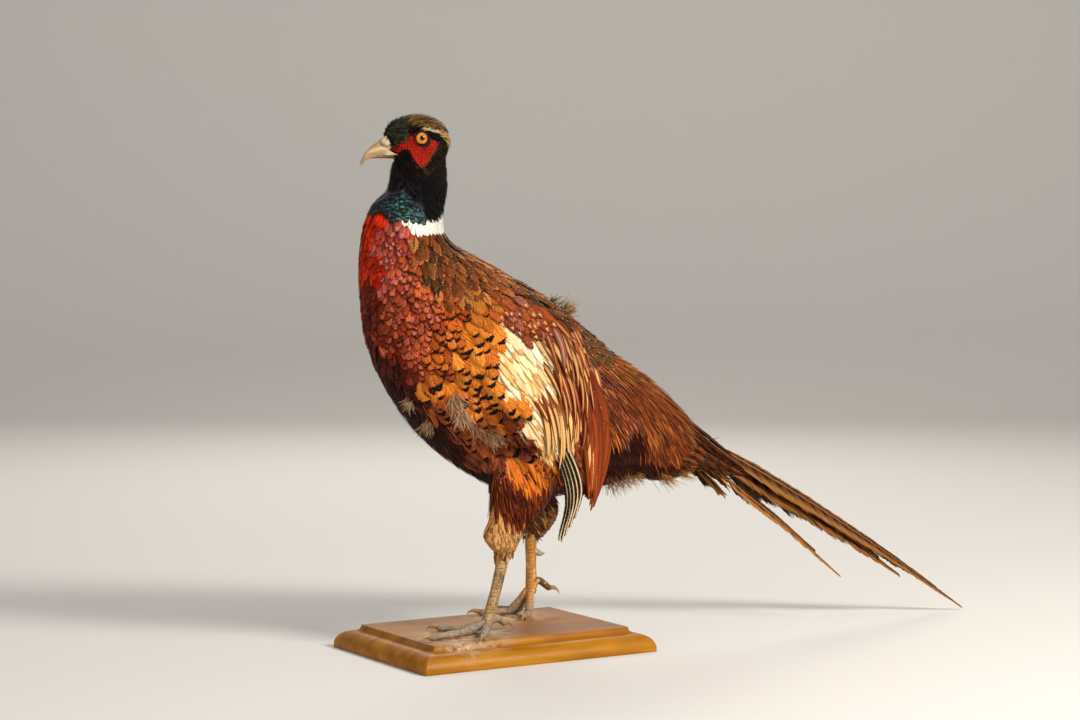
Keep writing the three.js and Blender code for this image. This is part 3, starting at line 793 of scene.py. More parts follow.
PLUMES = {
    "crown": Plume("head", "strand", 1.4, 7.0, 0.8, 2.6, "soft", ((112, 82, 38), (148, 112, 58),
        (70, 50, 24), (44, 33, 18)), (44, 30, 14), 0.06, tone=0.25),
    "forehead": Plume("head", "strand", 1.4, 6.0, 0.8, 2.3, "soft", ((26, 22, 15), (52, 44, 28),
        (58, 62, 50)), (10, 9, 7), tone=0.2),
    "brow": Plume("head", "strand", 1.0, 4.5, 0.6, 2.2, "soft", ((226, 204, 168), (208, 178, 132)),
        (150, 116, 70)),
    "brow_end": Plume("head", "strand", 1.0, 5.5, 0.7, 2.6, "soft", ((190, 156, 98), (150, 112, 54),
        (168, 128, 66)), (96, 68, 34), 0.1, tone=0.2),
    "cheek": Plume("head", "strand", 1.35, 5.0, 0.7, 1.5, "soft", ((9, 6, 5), (14, 9, 6), (24, 13, 7),
        (40, 24, 13)), (62, 38, 20), 0.06, tone=0.25),
    "fringe": Plume("head", "strand", 1.35, 6.0, 0.6, 2.2, "soft", ((98, 64, 30), (44, 26, 13), (14, 9, 6),
        (10, 7, 5)), (120, 80, 40), 0.06, tone=0.25),
    "nape": Plume("neck", "strand", 1.6, 8.0, 1.1, 1.9, "soft", ((5, 5, 6), (6, 8, 9), (8, 6, 9)),
        (3, 3, 4), 0.1),
    "plum": Plume("neck", "strand", 1.6, 7.0, 1.0, 1.8, "soft", ((52, 30, 34), (34, 26, 40), (58, 38, 26),
        (20, 26, 34), (8, 7, 9)), (14, 8, 10), 0.1, tone=0.2),
    "teal": Plume("teal", "plate", 2.5, 8.5, 2.6, 1.5, "round", ((52, 92, 86), (66, 106, 98), (38, 66, 76),
        (34, 60, 66)), (6, 14, 15), 0.26, tone=0.22),
    "slate": Plume("teal", "plate", 2.5, 8.5, 2.6, 1.5, "round", ((50, 66, 76), (62, 52, 62), (38, 58, 66),
        (74, 50, 44), (30, 36, 44)), (8, 10, 13), 0.3, tone=0.25),
    "collar": Plume("ring", "strand", 1.2, 6.2, 1.6, 0.8, "soft", ((255, 250, 238), (255, 253, 246),
        (246, 236, 216)), (255, 250, 238), tone=0.02),
    "ruby": Plume("breast", "barbed", 4.1, 16, 3.5, 2.1, "round", ((214, 42, 3), (224, 62, 10),
        (184, 28, 3)), (112, 14, 2), 0.10, tone=0.14),
    # Pink: copper-red breast feathers with a painted pink sheen in their colour, and on some a pale pink
    # spot towards the tip as a painted highlight.
    "pink": Plume("breast", "barbed", 4.0, 16, 3.3, 1.8, "round", ((200, 92, 74), (188, 98, 96),
        (180, 72, 50), (168, 58, 40)), (96, 28, 20), 0.10, (204, 122, 116), (0.66, 0.92, 0.5, 0.3), 0.3,
        tone=0.12),
    # Copper: the pale pink spot towards the tip of some feathers is a painted sheen.
    "copper": Plume("breast", "barbed", 4.3, 17, 3.7, 2.1, "round", ((188, 86, 46), (198, 96, 48),
        (160, 62, 32), (182, 84, 62), (146, 54, 26)), (54, 15, 7), 0.12, (206, 112, 88),
        (0.66, 0.9, 0.42, 0.25), 0.3, tone=0.14),
    "amber": Plume("breast", "barbed", 5.4, 21, 5.0, 2.4, "round", ((200, 98, 26), (214, 116, 40),
        (180, 80, 22), (164, 62, 20)), (30, 10, 5), 0.16, tone=0.12),
    "wine": Plume("breast", "barbed", 4.4, 18, 3.9, 2.1, "round", ((146, 48, 22), (122, 34, 14),
        (168, 68, 42), (108, 28, 11)), (46, 12, 5), 0.12, tone=0.16),
    # Dusk: the lower breast's dark feathers, partly their own colour and partly painted shade on the
    # breast's front, which is turned away from the light.
    "dusk": Plume("breast", "barbed", 4.8, 20, 3.6, 2.3, "point", ((84, 20, 7), (62, 13, 5), (112, 34, 11)),
        (26, 7, 4), 0.14),
    "belly": Plume("belly", "strand", 2.5, 24, 1.3, 3.0, "wisp", ((48, 14, 6), (70, 24, 9), (30, 10, 6)),
        (16, 6, 4), 0.1, tone=0.25),
    "vent": Plume("belly", "strand", 2.6, 20, 1.3, 2.6, "wisp", ((72, 26, 10), (52, 18, 8), (96, 42, 18)),
        (36, 14, 7), 0.1, tone=0.25),
    "mantle": Plume("back", "barbed", 4.8, 22, 3.8, 3.2, "point", ((156, 80, 32), (124, 56, 22),
        (192, 122, 58), (146, 70, 28), (76, 38, 18)), (206, 154, 92), 0.06, (54, 26, 12),
        (0.10, 0.85, 0.24, 0.14), 0.55, 0.35, 0.2),
    "gold": Plume("flank", "barbed", 6.0, 25, 6.0, 2.8, "round", ((204, 120, 38), (190, 102, 30)),
        (150, 76, 24), 0.0, (14, 8, 7), (0.86, 1.2, 1.5, 1.5), 0.12, 0.4),
    "back": Plume("back", "barbed", 5.2, 26, 3.9, 4.2, "point", ((118, 64, 28), (86, 60, 38), (146, 84, 38),
        (78, 46, 26)), (190, 132, 70), 0.08, (26, 40, 42), (0.40, 0.9, 0.5, 0.2), 0.7, 0.4, 0.2),
    # One of the scapulars' shades, a purple-grey, is their sheen painted into the colour.
    "scapular": Plume("wing", "barbed", 5.0, 24, 4.4, 2.6, "round", ((160, 70, 30), (176, 86, 40),
        (154, 92, 76), (150, 62, 26)), (98, 42, 22), 0.10, (226, 186, 124), (0.76, 0.96, 0.34, 0.06), 0.55,
        0.2, 0.16),
    "flank": Plume("flank", "barbed", 6.6, 31, 6.8, 2.6, "round", ((216, 120, 32), (226, 136, 46),
        (202, 104, 28)), (190, 96, 26), 0.0, (12, 7, 6), (0.855, 1.2, 1.4, 1.4), 0.8, 0.8, 0.09),
    "low_flank": Plume("flank", "barbed", 6.8, 32, 6.4, 2.6, "round", ((148, 68, 30), (170, 86, 36),
        (136, 66, 52), (118, 46, 20)), (88, 30, 12), 0.0, (12, 7, 6), (0.865, 1.2, 1.4, 1.4), 0.5, 0.6,
        0.14),
    "cover": Plume("wing", "plate", 4.6, 40, 3.3, 1.8, "point", ((238, 206, 154), (246, 226, 188),
        (214, 166, 98), (228, 190, 132)), (226, 184, 128), 0.05, (214, 160, 92), (0.84, 1.2, 1.3, 1.3), 0.4,
        0.2, 0.12),
    "gilt": Plume("wing", "plate", 5.0, 38, 3.4, 1.7, "point", ((180, 114, 56), (150, 82, 36),
        (122, 56, 24), (204, 150, 86), (116, 70, 62)), (110, 54, 24), 0.09, (230, 190, 128),
        (0.25, 0.9, 0.4, 0.15), 0.3, 0.3, 0.16),
    "long": Plume("wing", "plate", 5.6, 38, 4.2, 1.6, "point", ((132, 54, 18), (104, 38, 12),
        (152, 74, 32)), (74, 26, 10), 0.08, (176, 104, 48), (0.15, 0.8, 0.30, 0.12), 0.3, 0.4, 0.14),
    "cream_streak": Plume("wing", "plate", 5.0, 40, 1.8, 2.5, "wisp", ((218, 176, 114), (194, 144, 82),
        (230, 200, 146)), (150, 92, 44), 0.08, tone=0.14),
    "gold_streak": Plume("wing", "plate", 5.6, 40, 1.8, 2.3, "wisp", ((176, 114, 58), (146, 82, 38),
        (204, 150, 88), (130, 88, 78)), (104, 48, 20), 0.08, tone=0.2),
    "rump": Plume("rump", "strand", 2.0, 34, 0.95, 4.4, "wisp", ((134, 43, 9), (92, 24, 6), (168, 71, 18),
        (60, 13, 5), (118, 35, 8), (184, 102, 38)), (176, 96, 36), 0.04, shaft=0.2, tone=0.25),
    # The purplish rims are a painted sheen over the feathers' own purple-brown.
    "rump_scale": Plume("rump", "strand", 2.5, 22, 2.0, 2.8, "soft", ((120, 43, 17), (92, 27, 10),
        (140, 70, 49), (172, 90, 34), (108, 54, 38)), (140, 92, 76), 0.05, shaft=0.2, tone=0.2),
    "rump_low": Plume("rump", "strand", 2.0, 20, 0.95, 2.6, "wisp", ((48, 10, 3), (33, 7, 3), (62, 15, 5),
        (80, 26, 8)), (60, 19, 6), 0.04, tone=0.25),
    "rump_gold": Plume("rump", "strand", 2.0, 28, 0.95, 4.2, "wisp", ((156, 90, 36), (130, 62, 22),
        (104, 42, 14), (184, 120, 56)), (176, 116, 54), 0.06, tone=0.22),
    "thigh": Plume("thigh", "strand", 3.0, 32, 3.5, 1.4, "wisp", ((196, 98, 20), (182, 84, 14),
        (204, 112, 32)), (160, 74, 16), 0.04, (18, 9, 6), (0.72, 0.92, 0.8, 0.6), 0.025, 0.3, 0.05),
    # The lower thigh's darker feathers are painted shade on the thigh's underside.
    "thigh_low": Plume("thigh", "strand", 2.6, 24, 1.9, 2.2, "wisp", ((110, 38, 9), (86, 26, 7),
        (136, 58, 15), (66, 20, 6)), (72, 26, 8), 0.06, tone=0.16),
    # The far boot: the boot's feathers in darker shades, as painted shade on the side away from the light.
    "dark_boot": Plume("thigh", "strand", 2.0, 16, 1.2, 2.2, "wisp", ((146, 98, 52), (112, 68, 34),
        (180, 130, 76), (84, 48, 24)), (90, 54, 26), 0.06, tone=0.2),
    "boot": Plume("thigh", "strand", 2.5, 20, 2.7, 1.2, "soft", ((206, 148, 86), (194, 132, 72),
        (220, 168, 108)), (206, 148, 86), 0.0, tone=0.06),
}
KINDS = list(PLUMES)
SEEDS = {  # places of each kind, on the bird's left half
    "ruby": [(-125, 1, 356), (-125, 12, 346), (-124, 17, 334), (-126, 4, 337), (-123, 2, 366)],
    # The painted pink sheen lies on the upper front of the breast.
    "pink": [(-118, 23, 359), (-118, 27, 346), (-120, 24, 334), (-112, 31, 353), (-109, 32, 362)],
    "copper": [(-102, 40, 346), (-111, 35, 327), (-101, 44, 323), (-92, 49, 313), (-89, 51, 305),
        (-103, 42, 300), (-110, 34, 290), (-117, 22, 281), (-97, 45, 286), (-100, 40, 272), (-106, 34, 269),
        (-117, 29, 319), (-117, 25, 298), (-96, 36, 258)],
    "amber": [(-81, 54, 298), (-76, 56, 306), (-84, 51, 286), (-78, 54, 276), (-88, 47, 270),
        (-84, 47, 260)],
    "wine": [(-126, 5, 322), (-124, 16, 314), (-121, 21, 302), (-125, 4, 308), (-120, 16, 288),
        (-113, 24, 274), (-104, 31, 258), (-98, 34, 246)],
    # Where the breast's dark feathers carry painted shade.
    "dusk": [(-124, 1, 292), (-123, 1, 280), (-117, 8, 264), (-100, 24, 238), (-112, 14, 262),
        (-94, 30, 244)],
    "belly": [(-114, 5, 250), (-103, 9, 232), (-89, 12, 213), (-71, 13, 191), (-46, 4, 168), (-62, 24, 190),
        (-20, 10, 150), (-84, 24, 216), (10, 0, 132), (-30, 30, 160)],
    "vent": [(50, 0, 124), (100, 0, 122), (60, 40, 140), (30, 30, 134)],
    "mantle": [(-87, 43, 351), (-72, 41, 351), (-80, 49, 338), (-66, 50, 334), (-51, 47, 335),
        (-67, 55, 321), (-43, 51, 326), (-38, 50, 320), (-45, 0, 352), (-50, 20, 350), (-20, 25, 336),
        (-20, 0, 338)],
    "gold": [(-57, 57, 314), (-50, 58, 311), (-56, 59, 308)],
    "back": [(10, 0, 322), (20, 20, 316), (50, 0, 300), (40, 25, 300), (56, 25, 290), (85, 0, 276),
        (80, 20, 272), (0, 30, 322), (60, 40, 280), (112, 0, 256)],
    "scapular": [(-30, 55, 315), (-24, 59, 309), (-27, 63, 297), (-9, 62, 302), (-14, 64, 294),
        (-1, 63, 296), (-6, 52, 314), (8, 54, 306)],
    "flank": [(-56, 59, 301), (-49, 61, 291), (-62, 60, 280), (-53, 61, 281), (-66, 57, 268),
        (-54, 62, 262), (-73, 53, 256), (-84, 44, 248), (-42, 64, 237), (-52, 61, 246), (-29, 66, 236),
        (-62, 50, 240), (-37, 64, 224), (-29, 62, 204)],
    "low_flank": [(-35, 63, 216), (-43, 50, 209), (-42, 46, 200), (-26, 53, 204), (-23, 64, 205),
        (-51, 31, 184), (-39, 34, 176), (-76, 36, 226), (-15, 58, 192), (-62, 42, 214)],
    "cover": [(-38, 63, 289), (-43, 62, 276), (-41, 63, 265), (-39, 64, 255), (-32, 66, 244),
        (-22, 65, 286), (-8, 67, 281), (5, 67, 277), (-22, 67, 268), (-8, 68, 262), (8, 68, 262),
        (-14, 69, 246), (0, 69, 244), (10, 70, 246), (-6, 69, 228), (6, 69, 226), (-8, 69, 214),
        (4, 68, 208), (-17, 68, 225), (-16, 67, 210)],
    "gilt": [(10, 64, 288), (16, 67, 272), (18, 69, 258), (20, 70, 242), (20, 70, 226), (20, 69, 210),
        (18, 69, 194), (12, 68, 190), (22, 66, 284)],
    "long": [(26, 60, 290), (20, 52, 304), (40, 56, 286), (34, 69, 268), (36, 70, 240), (34, 69, 214),
        (46, 66, 187), (53, 63, 150), (25, 68, 186), (64, 62, 158), (44, 69, 225), (38, 68, 250),
        (56, 66, 200), (50, 66, 262)],
    "rump": [(96, 30, 262), (104, 46, 236), (118, 38, 226), (137, 36, 214), (84, 53, 206), (138, 42, 186),
        (160, 38, 190), (185, 30, 172), (72, 60, 235), (120, 0, 250), (150, 10, 234), (190, 0, 196)],
    "rump_scale": [(74, 56, 250), (78, 54, 238), (84, 53, 225), (86, 52, 212), (92, 50, 200), (78, 56, 196),
        (100, 44, 214), (66, 60, 262)],
    "rump_low": [(84, 54, 186), (96, 50, 184), (112, 46, 178), (132, 40, 168), (90, 45, 160),
        (120, 40, 156), (150, 34, 154), (176, 28, 154), (100, 0, 140), (150, 0, 140), (190, 0, 144),
        (84, 44, 150)],
    "rump_gold": [(206, 12, 180), (200, 20, 172), (176, 24, 200), (132, 16, 236), (196, 24, 152),
        (96, 30, 256)],
    "thigh": [(-9, 50, 178), (6, 58, 169), (-6, 56, 163), (11, 58, 160), (26, 50, 164), (1, 60, 180),
        (-5, 62, 191)],
    # Where the thigh is darkened as painted shade.
    "thigh_low": [(-24, 50, 160), (-15, 54, 149), (5, 56, 147), (22, 50, 146), (34, 52, 150), (60, 44, 138),
        (0, 30, 138), (-6, 54, 136), (8, 54, 134)],
    "boot": [(-24, 50, 120), (-13, 53, 122), (-2, 54, 120), (8, 52, 118), (-27, 47, 98), (-10, 30, 108),
        (62, 44, 108), (62, 34, 92)],
    "nape": [(-50, 10, 420), (-50, 12, 400), (-52, 15, 388), (-70, 24, 400), (-78, 26, 392),
        (-66, 20, 412)],
}
OUTLINES = {  # half-widths at the rows, as shares of the widest
    "plate": {
        "round": (0.30, 0.75, 0.97, 1.00, 0.84, 0.52, 0.10),
        "soft": (0.34, 0.80, 1.00, 0.92, 0.70, 0.40, 0.08),
        "point": (0.34, 0.74, 0.95, 0.96, 0.74, 0.42, 0.06),
        "wisp": (0.55, 0.90, 1.00, 0.84, 0.60, 0.32, 0.05),
    },
    "strand": {
        "round": (0.40, 0.95, 1.00, 0.60, 0.16),
        "soft": (0.45, 1.00, 0.86, 0.48, 0.08),
        "point": (0.40, 0.95, 0.95, 0.50, 0.06),
        "wisp": (0.60, 1.00, 0.76, 0.38, 0.05),
    },
}
OUTLINES["barbed"] = OUTLINES["plate"]
# Where the rows of a vane lie along it.
SHARES = {"plate": (0, 0.22, 0.44, 0.62, 0.79, 0.92, 1), "strand": (0, 0.3, 0.6, 0.85, 1)}
SHARES["barbed"] = SHARES["plate"]
COLUMNS = {"plate": 5, "strand": 3, "barb": 3, "backing": 3}  # points across a vane of each layout


def of_kinds(field):
    """One field of every kind of feather, in the order of KINDS."""
    return np.array([getattr(PLUMES[k], field) for k in KINDS])


def is_collar(points):
    """The white ring: narrow at the sides, deeper behind, open at the throat."""
    x, _, z = points.T
    top = 376 + 9 * smooth(x, -76, -56) + 3 * smooth(-x, 94, 104)
    low = 363.5 + 0.75 * np.maximum(-94 - x, 0) + 3 * smooth(x, -76, -60)
    return (x > -104) & (z > low) & (z < top)


BROW = np.array([(-1.2, 8.0), (6.4, 7.8), (11.7, 6.8), (15.5, 5.4)])  # backwards and up, in the head
BROW_END = np.array([(15.5, 5.8), (18.4, 4.2), (21.2, 2.0), (22.6, -1.6)])


def off_line(local, line):
    """Distance in the head's side view from a line of (backwards, up) places."""
    return np.min([off_segment(local[:, [0, 2]], a, b) for a, b in zip(line[:-1], line[1:])], axis=0)


def kinds_at(points):
    """The kind of feather at each point on the skin."""
    half = points * (1, 0, 1) + np.abs(points) * (0, 1, 0)  # the seeds are on one half only
    places = np.array([p for k in KINDS for p in SEEDS.get(k, [])], float)
    owner = np.array([i for i, k in enumerate(KINDS) for _ in SEEDS.get(k, [])])
    kind = np.zeros(len(points), int)
    for start in range(0, len(points), AT_ONCE):
        some = half[start:start + AT_ONCE]
        square = ((some[:, None] - places[None]) ** 2).sum(2)
        kind[start:start + AT_ONCE] = owner[square.argmin(1)]
    x, _, z = points.T
    local = to_head(points)
    hx, hz = local[:, 0], local[:, 2]
    name = {k: i for i, k in enumerate(KINDS)}
    # The kinds of the neck and the head are bounded by planes and by lines in the side view.
    neck = z > 374 + 0.65 * np.maximum(-104 - x, 0)
    kind[neck] = name["nape"]
    kind[neck & (x < -84) & (z < 407)] = name["plum"]
    kind[neck & (x < -88 - 0.30 * (z - 380)) & (z < 400)] = name["teal"]
    kind[neck & (x < -86) & (z < 391)] = name["teal"]
    head = z > 410
    kind[head] = name["cheek"]
    rim = wattle_distance(points)
    kind[head & (rim > -4.2) & (hx > 2) & (hz < -3)] = name["fringe"]
    kind[head & (rim > -2.6) & (hx > -8) & (hz < -12)] = name["fringe"]
    kind[head & (hx < -14) & (hz > -2)] = name["forehead"]
    kind[head & (hz > 8.8) & (hx > -15) & (hx < 24)] = name["forehead"]
    kind[head & (hz > 9.2 + 3.4 * smooth(-hx, -4, 12)) & (hx > -14) & (hx < 25)] = name["crown"]
    sided = head & on_side(local)
    kind[sided & (off_line(local, BROW) < 1.25)] = name["brow"]
    kind[sided & (off_line(local, BROW_END) < 2.3)] = name["brow_end"]
    kind[is_collar(points)] = name["collar"]
    # The boot on the bird's right takes the darker shades: painted shade.
    kind[(kind == name["boot"]) & (points[:, 1] > 0)] = name["dark_boot"]
    kind[(kind == name["teal"]) & ((x < -108) | (z > 395 + 0.5 * (x + 100)))] = name["slate"]
    return kind


def vane_polygons(feathers, rows, columns):
    """Index arrays of closed vanes: the cambered top, one flat strip under it, and both ends."""
    grid = np.arange(rows * columns).reshape(rows, columns)
    a = grid[:-1, :-1].ravel()
    left, right = grid[:-1, 0], grid[:-1, -1]
    top = np.stack([a, a + 1, a + columns + 1, a + columns], 1)
    under = np.stack([left, left + columns, right + columns, right], 1)
    offset = (np.arange(feathers) * rows * columns)[:, None, None]
    parts = (top, under, grid[:1, ::-1], grid[-1:])
    return [(part[None] + offset).reshape(-1, part.shape[1]) for part in parts]


def located(across, along, aside, forward, number, uv):
    """Where each point of a feather lies: as shares of the vane, in mm, and in the map, where every
    feather has a small patch round the place of the skin under its root."""
    across, along, aside, forward, number = np.broadcast_arrays(across, along, aside, forward, number)
    data = {"vane": np.stack([across, along, number], -1), "span": np.stack([aside, forward, number], -1)}
    return data, uv + np.stack([0.0012 * across, 0.003 * (along - 0.5)], -1)


def for_all(colours, count):
    """One set of colours, repeated for a number of vanes."""
    return {key: np.tile(np.asarray(value, float), (count, 1)) for key, value in colours.items()}


class Batch:
    """Vanes of one layout, with their shape and colours, ready to be joined to a piece."""

    def __init__(self, spine, normal, way, width, layout, drop=None):
        feathers, rows = width.shape
        columns = COLUMNS[layout]
        across = np.linspace(-1, 1, columns)
        sideways = unit(np.cross(way, normal))
        reach = width[:, :, None, None] * across[None, None, :, None]
        thick = 0.08 + 0.03 * np.maximum(width, 0)
        camber = thick[:, :, None] * (1 - across**2)[None, None]
        if drop is not None:
            left, right = drop[:, :, 0:1], drop[:, :, 1:2]
            side = np.where(across < 0, left, right)
            camber = camber - side * (across**2)[None, None]
        self.points = (spine[:, :, None] + sideways[:, :, None] * reach
                       + normal[:, :, None] * camber[..., None])
        self.polygons = vane_polygons(feathers, rows, columns)
        self.width = width
        self.across = across

    def fill(self, shares, lengths, numbers, uv, colours):
        """Gives each vane its number, its colours and its patch of the map."""
        along = np.asarray(shares)[None, :, None]
        aside = self.across * self.width[:, :, None]
        self.data, self.uv = located(self.across, along, aside, along * lengths[:, None, None],
                                     numbers[:, None, None], uv[:, None, None])
        for key, values in colours.items():
            self.data[key] = values[:, None, None] * np.ones((*aside.shape, 1))


def joined(name, batches, slot, material, replaces=()):
    """One piece from batches of vanes."""
    points, polygons, start = [], [], 0
    for b in batches:
        points.append(b.points.reshape(-1, 3))
        polygons += [p + start for p in b.polygons]
        start += len(points[-1])
    mesh = array_mesh(name, np.vstack(points), polygons)
    for key in ("vane", "span"):
        add_vector(mesh, key, np.vstack([b.data[key].reshape(-1, 3) for b in batches]))
    for key in COLOURS:
        add_colour(mesh, key, np.vstack([b.data[key].reshape(-1, 4) for b in batches]))
    add_uv(mesh, np.vstack([b.uv.reshape(-1, 2) for b in batches]))
    place(name, mesh, slot, material, replaces)


def drift(points, reach, rng):
    """A smooth random value, mostly from -1 to 1, that changes over about the given reach in mm."""
    total = np.zeros(len(points))
    for _ in range(6):
        wave = unit(rng.normal(0, 1, 3)) * 2 * np.pi / (reach * rng.uniform(1.4, 3.2))
        total += np.sin(points @ wave + rng.uniform(0, 2 * np.pi))
    return total / 2


def plume_colours(kind, spots, rng):
    """Base, edge, spot and form of every feather, with its own small differences. Neighbours are
    somewhat alike, so hairy plumage falls into locks of one shade."""
    count = len(kind)
    lock = drift(spots, 11.0, rng)
    light = np.exp(0.10 * drift(spots, 16.0, rng))[:, None]
    base, edge, spot, form = np.zeros((4, count, 4))
    for i, k in enumerate(KINDS):
        mine = np.flatnonzero(kind == i)
        if not len(mine):
            continue
        plume = PLUMES[k]
        shades = np.array([srgb(*c) for c in plume.base])
        by_lock = np.clip((lock[mine] * 0.5 + 0.5) * len(shades), 0, len(shades) - 1).astype(int)
        by_chance = rng.integers(0, len(shades), len(mine))
        first = shades[np.where(rng.random(len(mine)) < 0.6, by_lock, by_chance)]
        other = shades[rng.integers(0, len(shades), len(mine))]
        share = rng.random((len(mine), 1)) * 0.5
        tone = np.exp(rng.normal(0, plume.tone, (len(mine), 1))) * light[mine]
        base[mine, :3] = (first * (1 - share) + other * share) * tone
        base[mine, 3] = 1
        edge[mine, :3] = np.array(srgb(*plume.edge)) * tone
        edge[mine, 3] = plume.edge_width * rng.uniform(0.7, 1.25, len(mine))
        spot[mine, :3] = srgb(*plume.spot)
        spot[mine, 3] = plume.shaft
        has = rng.random(len(mine)) < plume.spotted
        form[mine] = np.array(plume.form) * has[:, None]
        form[mine, 0] = plume.form[0] + rng.normal(0, 0.015, len(mine))
        form[mine[~has], 1] = form[mine[~has], 0]
    return dict(zip(COLOURS, (base, edge, spot, form)))


SHARP_KINDS = (  # their rims stay sharp: no feather of theirs is mixed in with its neighbours
    "collar", "teal", "slate", "plum", "cover", "nape", "brow", "brow_end", "crown", "forehead", "cheek",
    "fringe")
SOFT_KINDS = ("rump", "rump_low", "rump_gold", "vent", "belly")
STREAKS = (("gilt", "cream_streak", 0.3), ("long", "gold_streak", 0.26))  # where, which and what share
COLOURS = ("base", "edge", "spot", "form")
ROOT_DEPTH = 0.3  # of the vanes' roots in the skin, in mm
WOBBLE = {"barbed": 0.0, "plate": 0.05, "strand": 0.05}  # of the half-width, from row to row
LEAST_REACH = 0.75  # from a plume's root to its tip, as a share of its length
MOST_SIDEWAYS = 0.7  # how far a thigh's plume may point sideways, as a share of its length


def shortening(points):
    """Shorter feathers near the tail's root and under the rump, so that none stand out from it."""
    x, y, z = points.T
    side = np.abs(y)
    near_tail = smooth(x, 178, 204) * 0.5
    under = smooth(x, 36, 52) * smooth(-z, -178, -160) * 0.55
    wing_end = smooth(x, 6, 16) * smooth(-z, -204, -186) * smooth(side, 50, 58) * 0.5
    cuff = smooth(-z, -116, -96) * 0.5
    wing_tip = smooth(x, 40, 54) * smooth(-z, -165, -145) * smooth(side, 40, 50) * 0.8
    return 1 - np.max([near_tail, under, wing_end, wing_tip, cuff], axis=0)


def scatter_roots(skin, rng):
    """The root, the face of the skin and the kind of every contour feather."""
    kind_of_face = kinds_at(skin.centre)
    gaps = of_kinds("gap")
    bare = wattle_distance(skin.centre) > 0.2
    from_axis = eye_distance(skin.centre)
    allowed = ~bare & ((from_axis > 6.8) | (skin.centre[:, 2] < 420)) & free_of_cuts(skin.centre)
    spots, faces = skin.roots(gaps[kind_of_face], allowed, 5)
    jitter = np.minimum(gaps[kind_of_face[faces]], 6)[:, None] * rng.normal(0, 0.8, spots.shape)
    moved = kinds_at(spots + jitter)
    sharp = np.isin(KINDS, SHARP_KINDS)
    kind = np.where(sharp[kind_of_face[faces]] | sharp[moved], kind_of_face[faces], moved)
    # Long pale streaks lie scattered over the wing's broad feathers.
    for zone, streak, part in STREAKS:
        changed = (kind == KINDS.index(zone)) & (rng.random(len(kind)) < part)
        kind[changed] = KINDS.index(streak)
    return spots, faces, kind


def grow_coat(skin):
    """All contour feathers, by scattered roots and walks along the lie: for each part and side of the
    bird, its batches of vanes."""
    rng = np.random.default_rng(23)
    spots, faces, kind = scatter_roots(skin, rng)
    lengths, halves, rises = (of_kinds(field)[kind] * np.exp(rng.normal(0, spread, len(kind)))
                              for field, spread in (("long", 0.09), ("half", 0.08), ("rise", 0.10)))
    turns = rng.normal(0, 0.11, len(kind))
    stiff = np.clip((lengths - 12) / 40, 0, 0.8)  # longer feathers are stiffer
    stiff = np.where(np.isin(KINDS, SOFT_KINDS)[kind], 0.5 * stiff, stiff)
    lengths = lengths * shortening(spots)
    colours = plume_colours(kind, spots, rng)
    numbers = rng.random(len(kind))
    layouts, outlines, piece_names = (of_kinds(field)[kind] for field in ("layout", "outline", "piece"))
    on_right = spots[:, 1] > 0
    pieces = {}
    for layout in ("barbed", "plate", "strand"):
        at = np.flatnonzero(layouts == layout)
        shares = np.array(SHARES[layout])
        spine, normal, way = skin.spines(spots[at], faces[at], lengths[at], shares, turns[at], stiff[at])
        table = np.array([OUTLINES[layout][o] for o in outlines[at]])
        width = halves[at][:, None] * table * np.exp(rng.normal(0, 1, table.shape) * WOBBLE[layout])
        height = (rises[at][:, None] + ROOT_DEPTH) * shares[None] - ROOT_DEPTH
        if layout == "strand":  # too narrow to bend round the skin
            drop = np.zeros(width.shape + (2,))
        else:
            drop = side_drops(skin, spine, normal, way, width)
        spine = spine + normal * height[..., None]
        # A plume that curls back on itself, as over a sharp bend of the skin, is left out, and so is
        # one of the thigh that points sideways, off the leg.
        reach = np.linalg.norm(spine[:, -1] - spine[:, 0], axis=1)
        straight = reach > LEAST_REACH * lengths[at]
        sideways = np.abs(spine[:, -1, 1] - spine[:, 0, 1]) > MOST_SIDEWAYS * reach
        straight &= ~(sideways & (piece_names[at] == "thigh"))
        for name in np.unique(piece_names[at]):
            for side, side_name in SIDES:
                mine = straight & (piece_names[at] == name) & (on_right[at] == (side > 0))
                if not mine.any():
                    continue
                some = at[mine]
                own = {key: values[some] for key, values in colours.items()}
                coat = (spine[mine], normal[mine], way[mine], width[mine], drop[mine])
                facts = (shares, lengths[some], numbers[some], skin.uv[faces[some]], own)
                made = pieces.setdefault((name, side_name), [])
                if layout == "barbed":
                    made += barbed_vanes(*coat, *facts, rng)
                else:
                    batch = Batch(*coat[:4], layout, coat[4])
                    batch.fill(*facts)
                    made.append(batch)
    return pieces


BARB_PITCH = 1.25
BARB_SLANT = math.radians(31)
BARB_ROWS = np.array([0.0, 0.5, 1.0])
BARB_TAPER = np.array([0.55, 0.68, 0.30])
BACKING_ROWS = np.array([0, 2, 4, 5])  # of the plate layout
BACKING_WIDTH = 0.8
BARBED_FROM = 0.55  # the part nearer the root lies hidden, on a plain backing


def sample(values, shares, t):
    """Per-feather rows of values, read at places t along each feather."""
    place = np.interp(t, shares, np.arange(len(shares)))
    low = np.minimum(place.astype(int), len(shares) - 2)
    part = place - low
    feather = np.arange(len(values)).reshape((-1,) + (1,) * (t.ndim - 1))
    if values.ndim == 3:
        part = part[..., None]
    return values[feather, low] * (1 - part) + values[feather, low + 1] * part


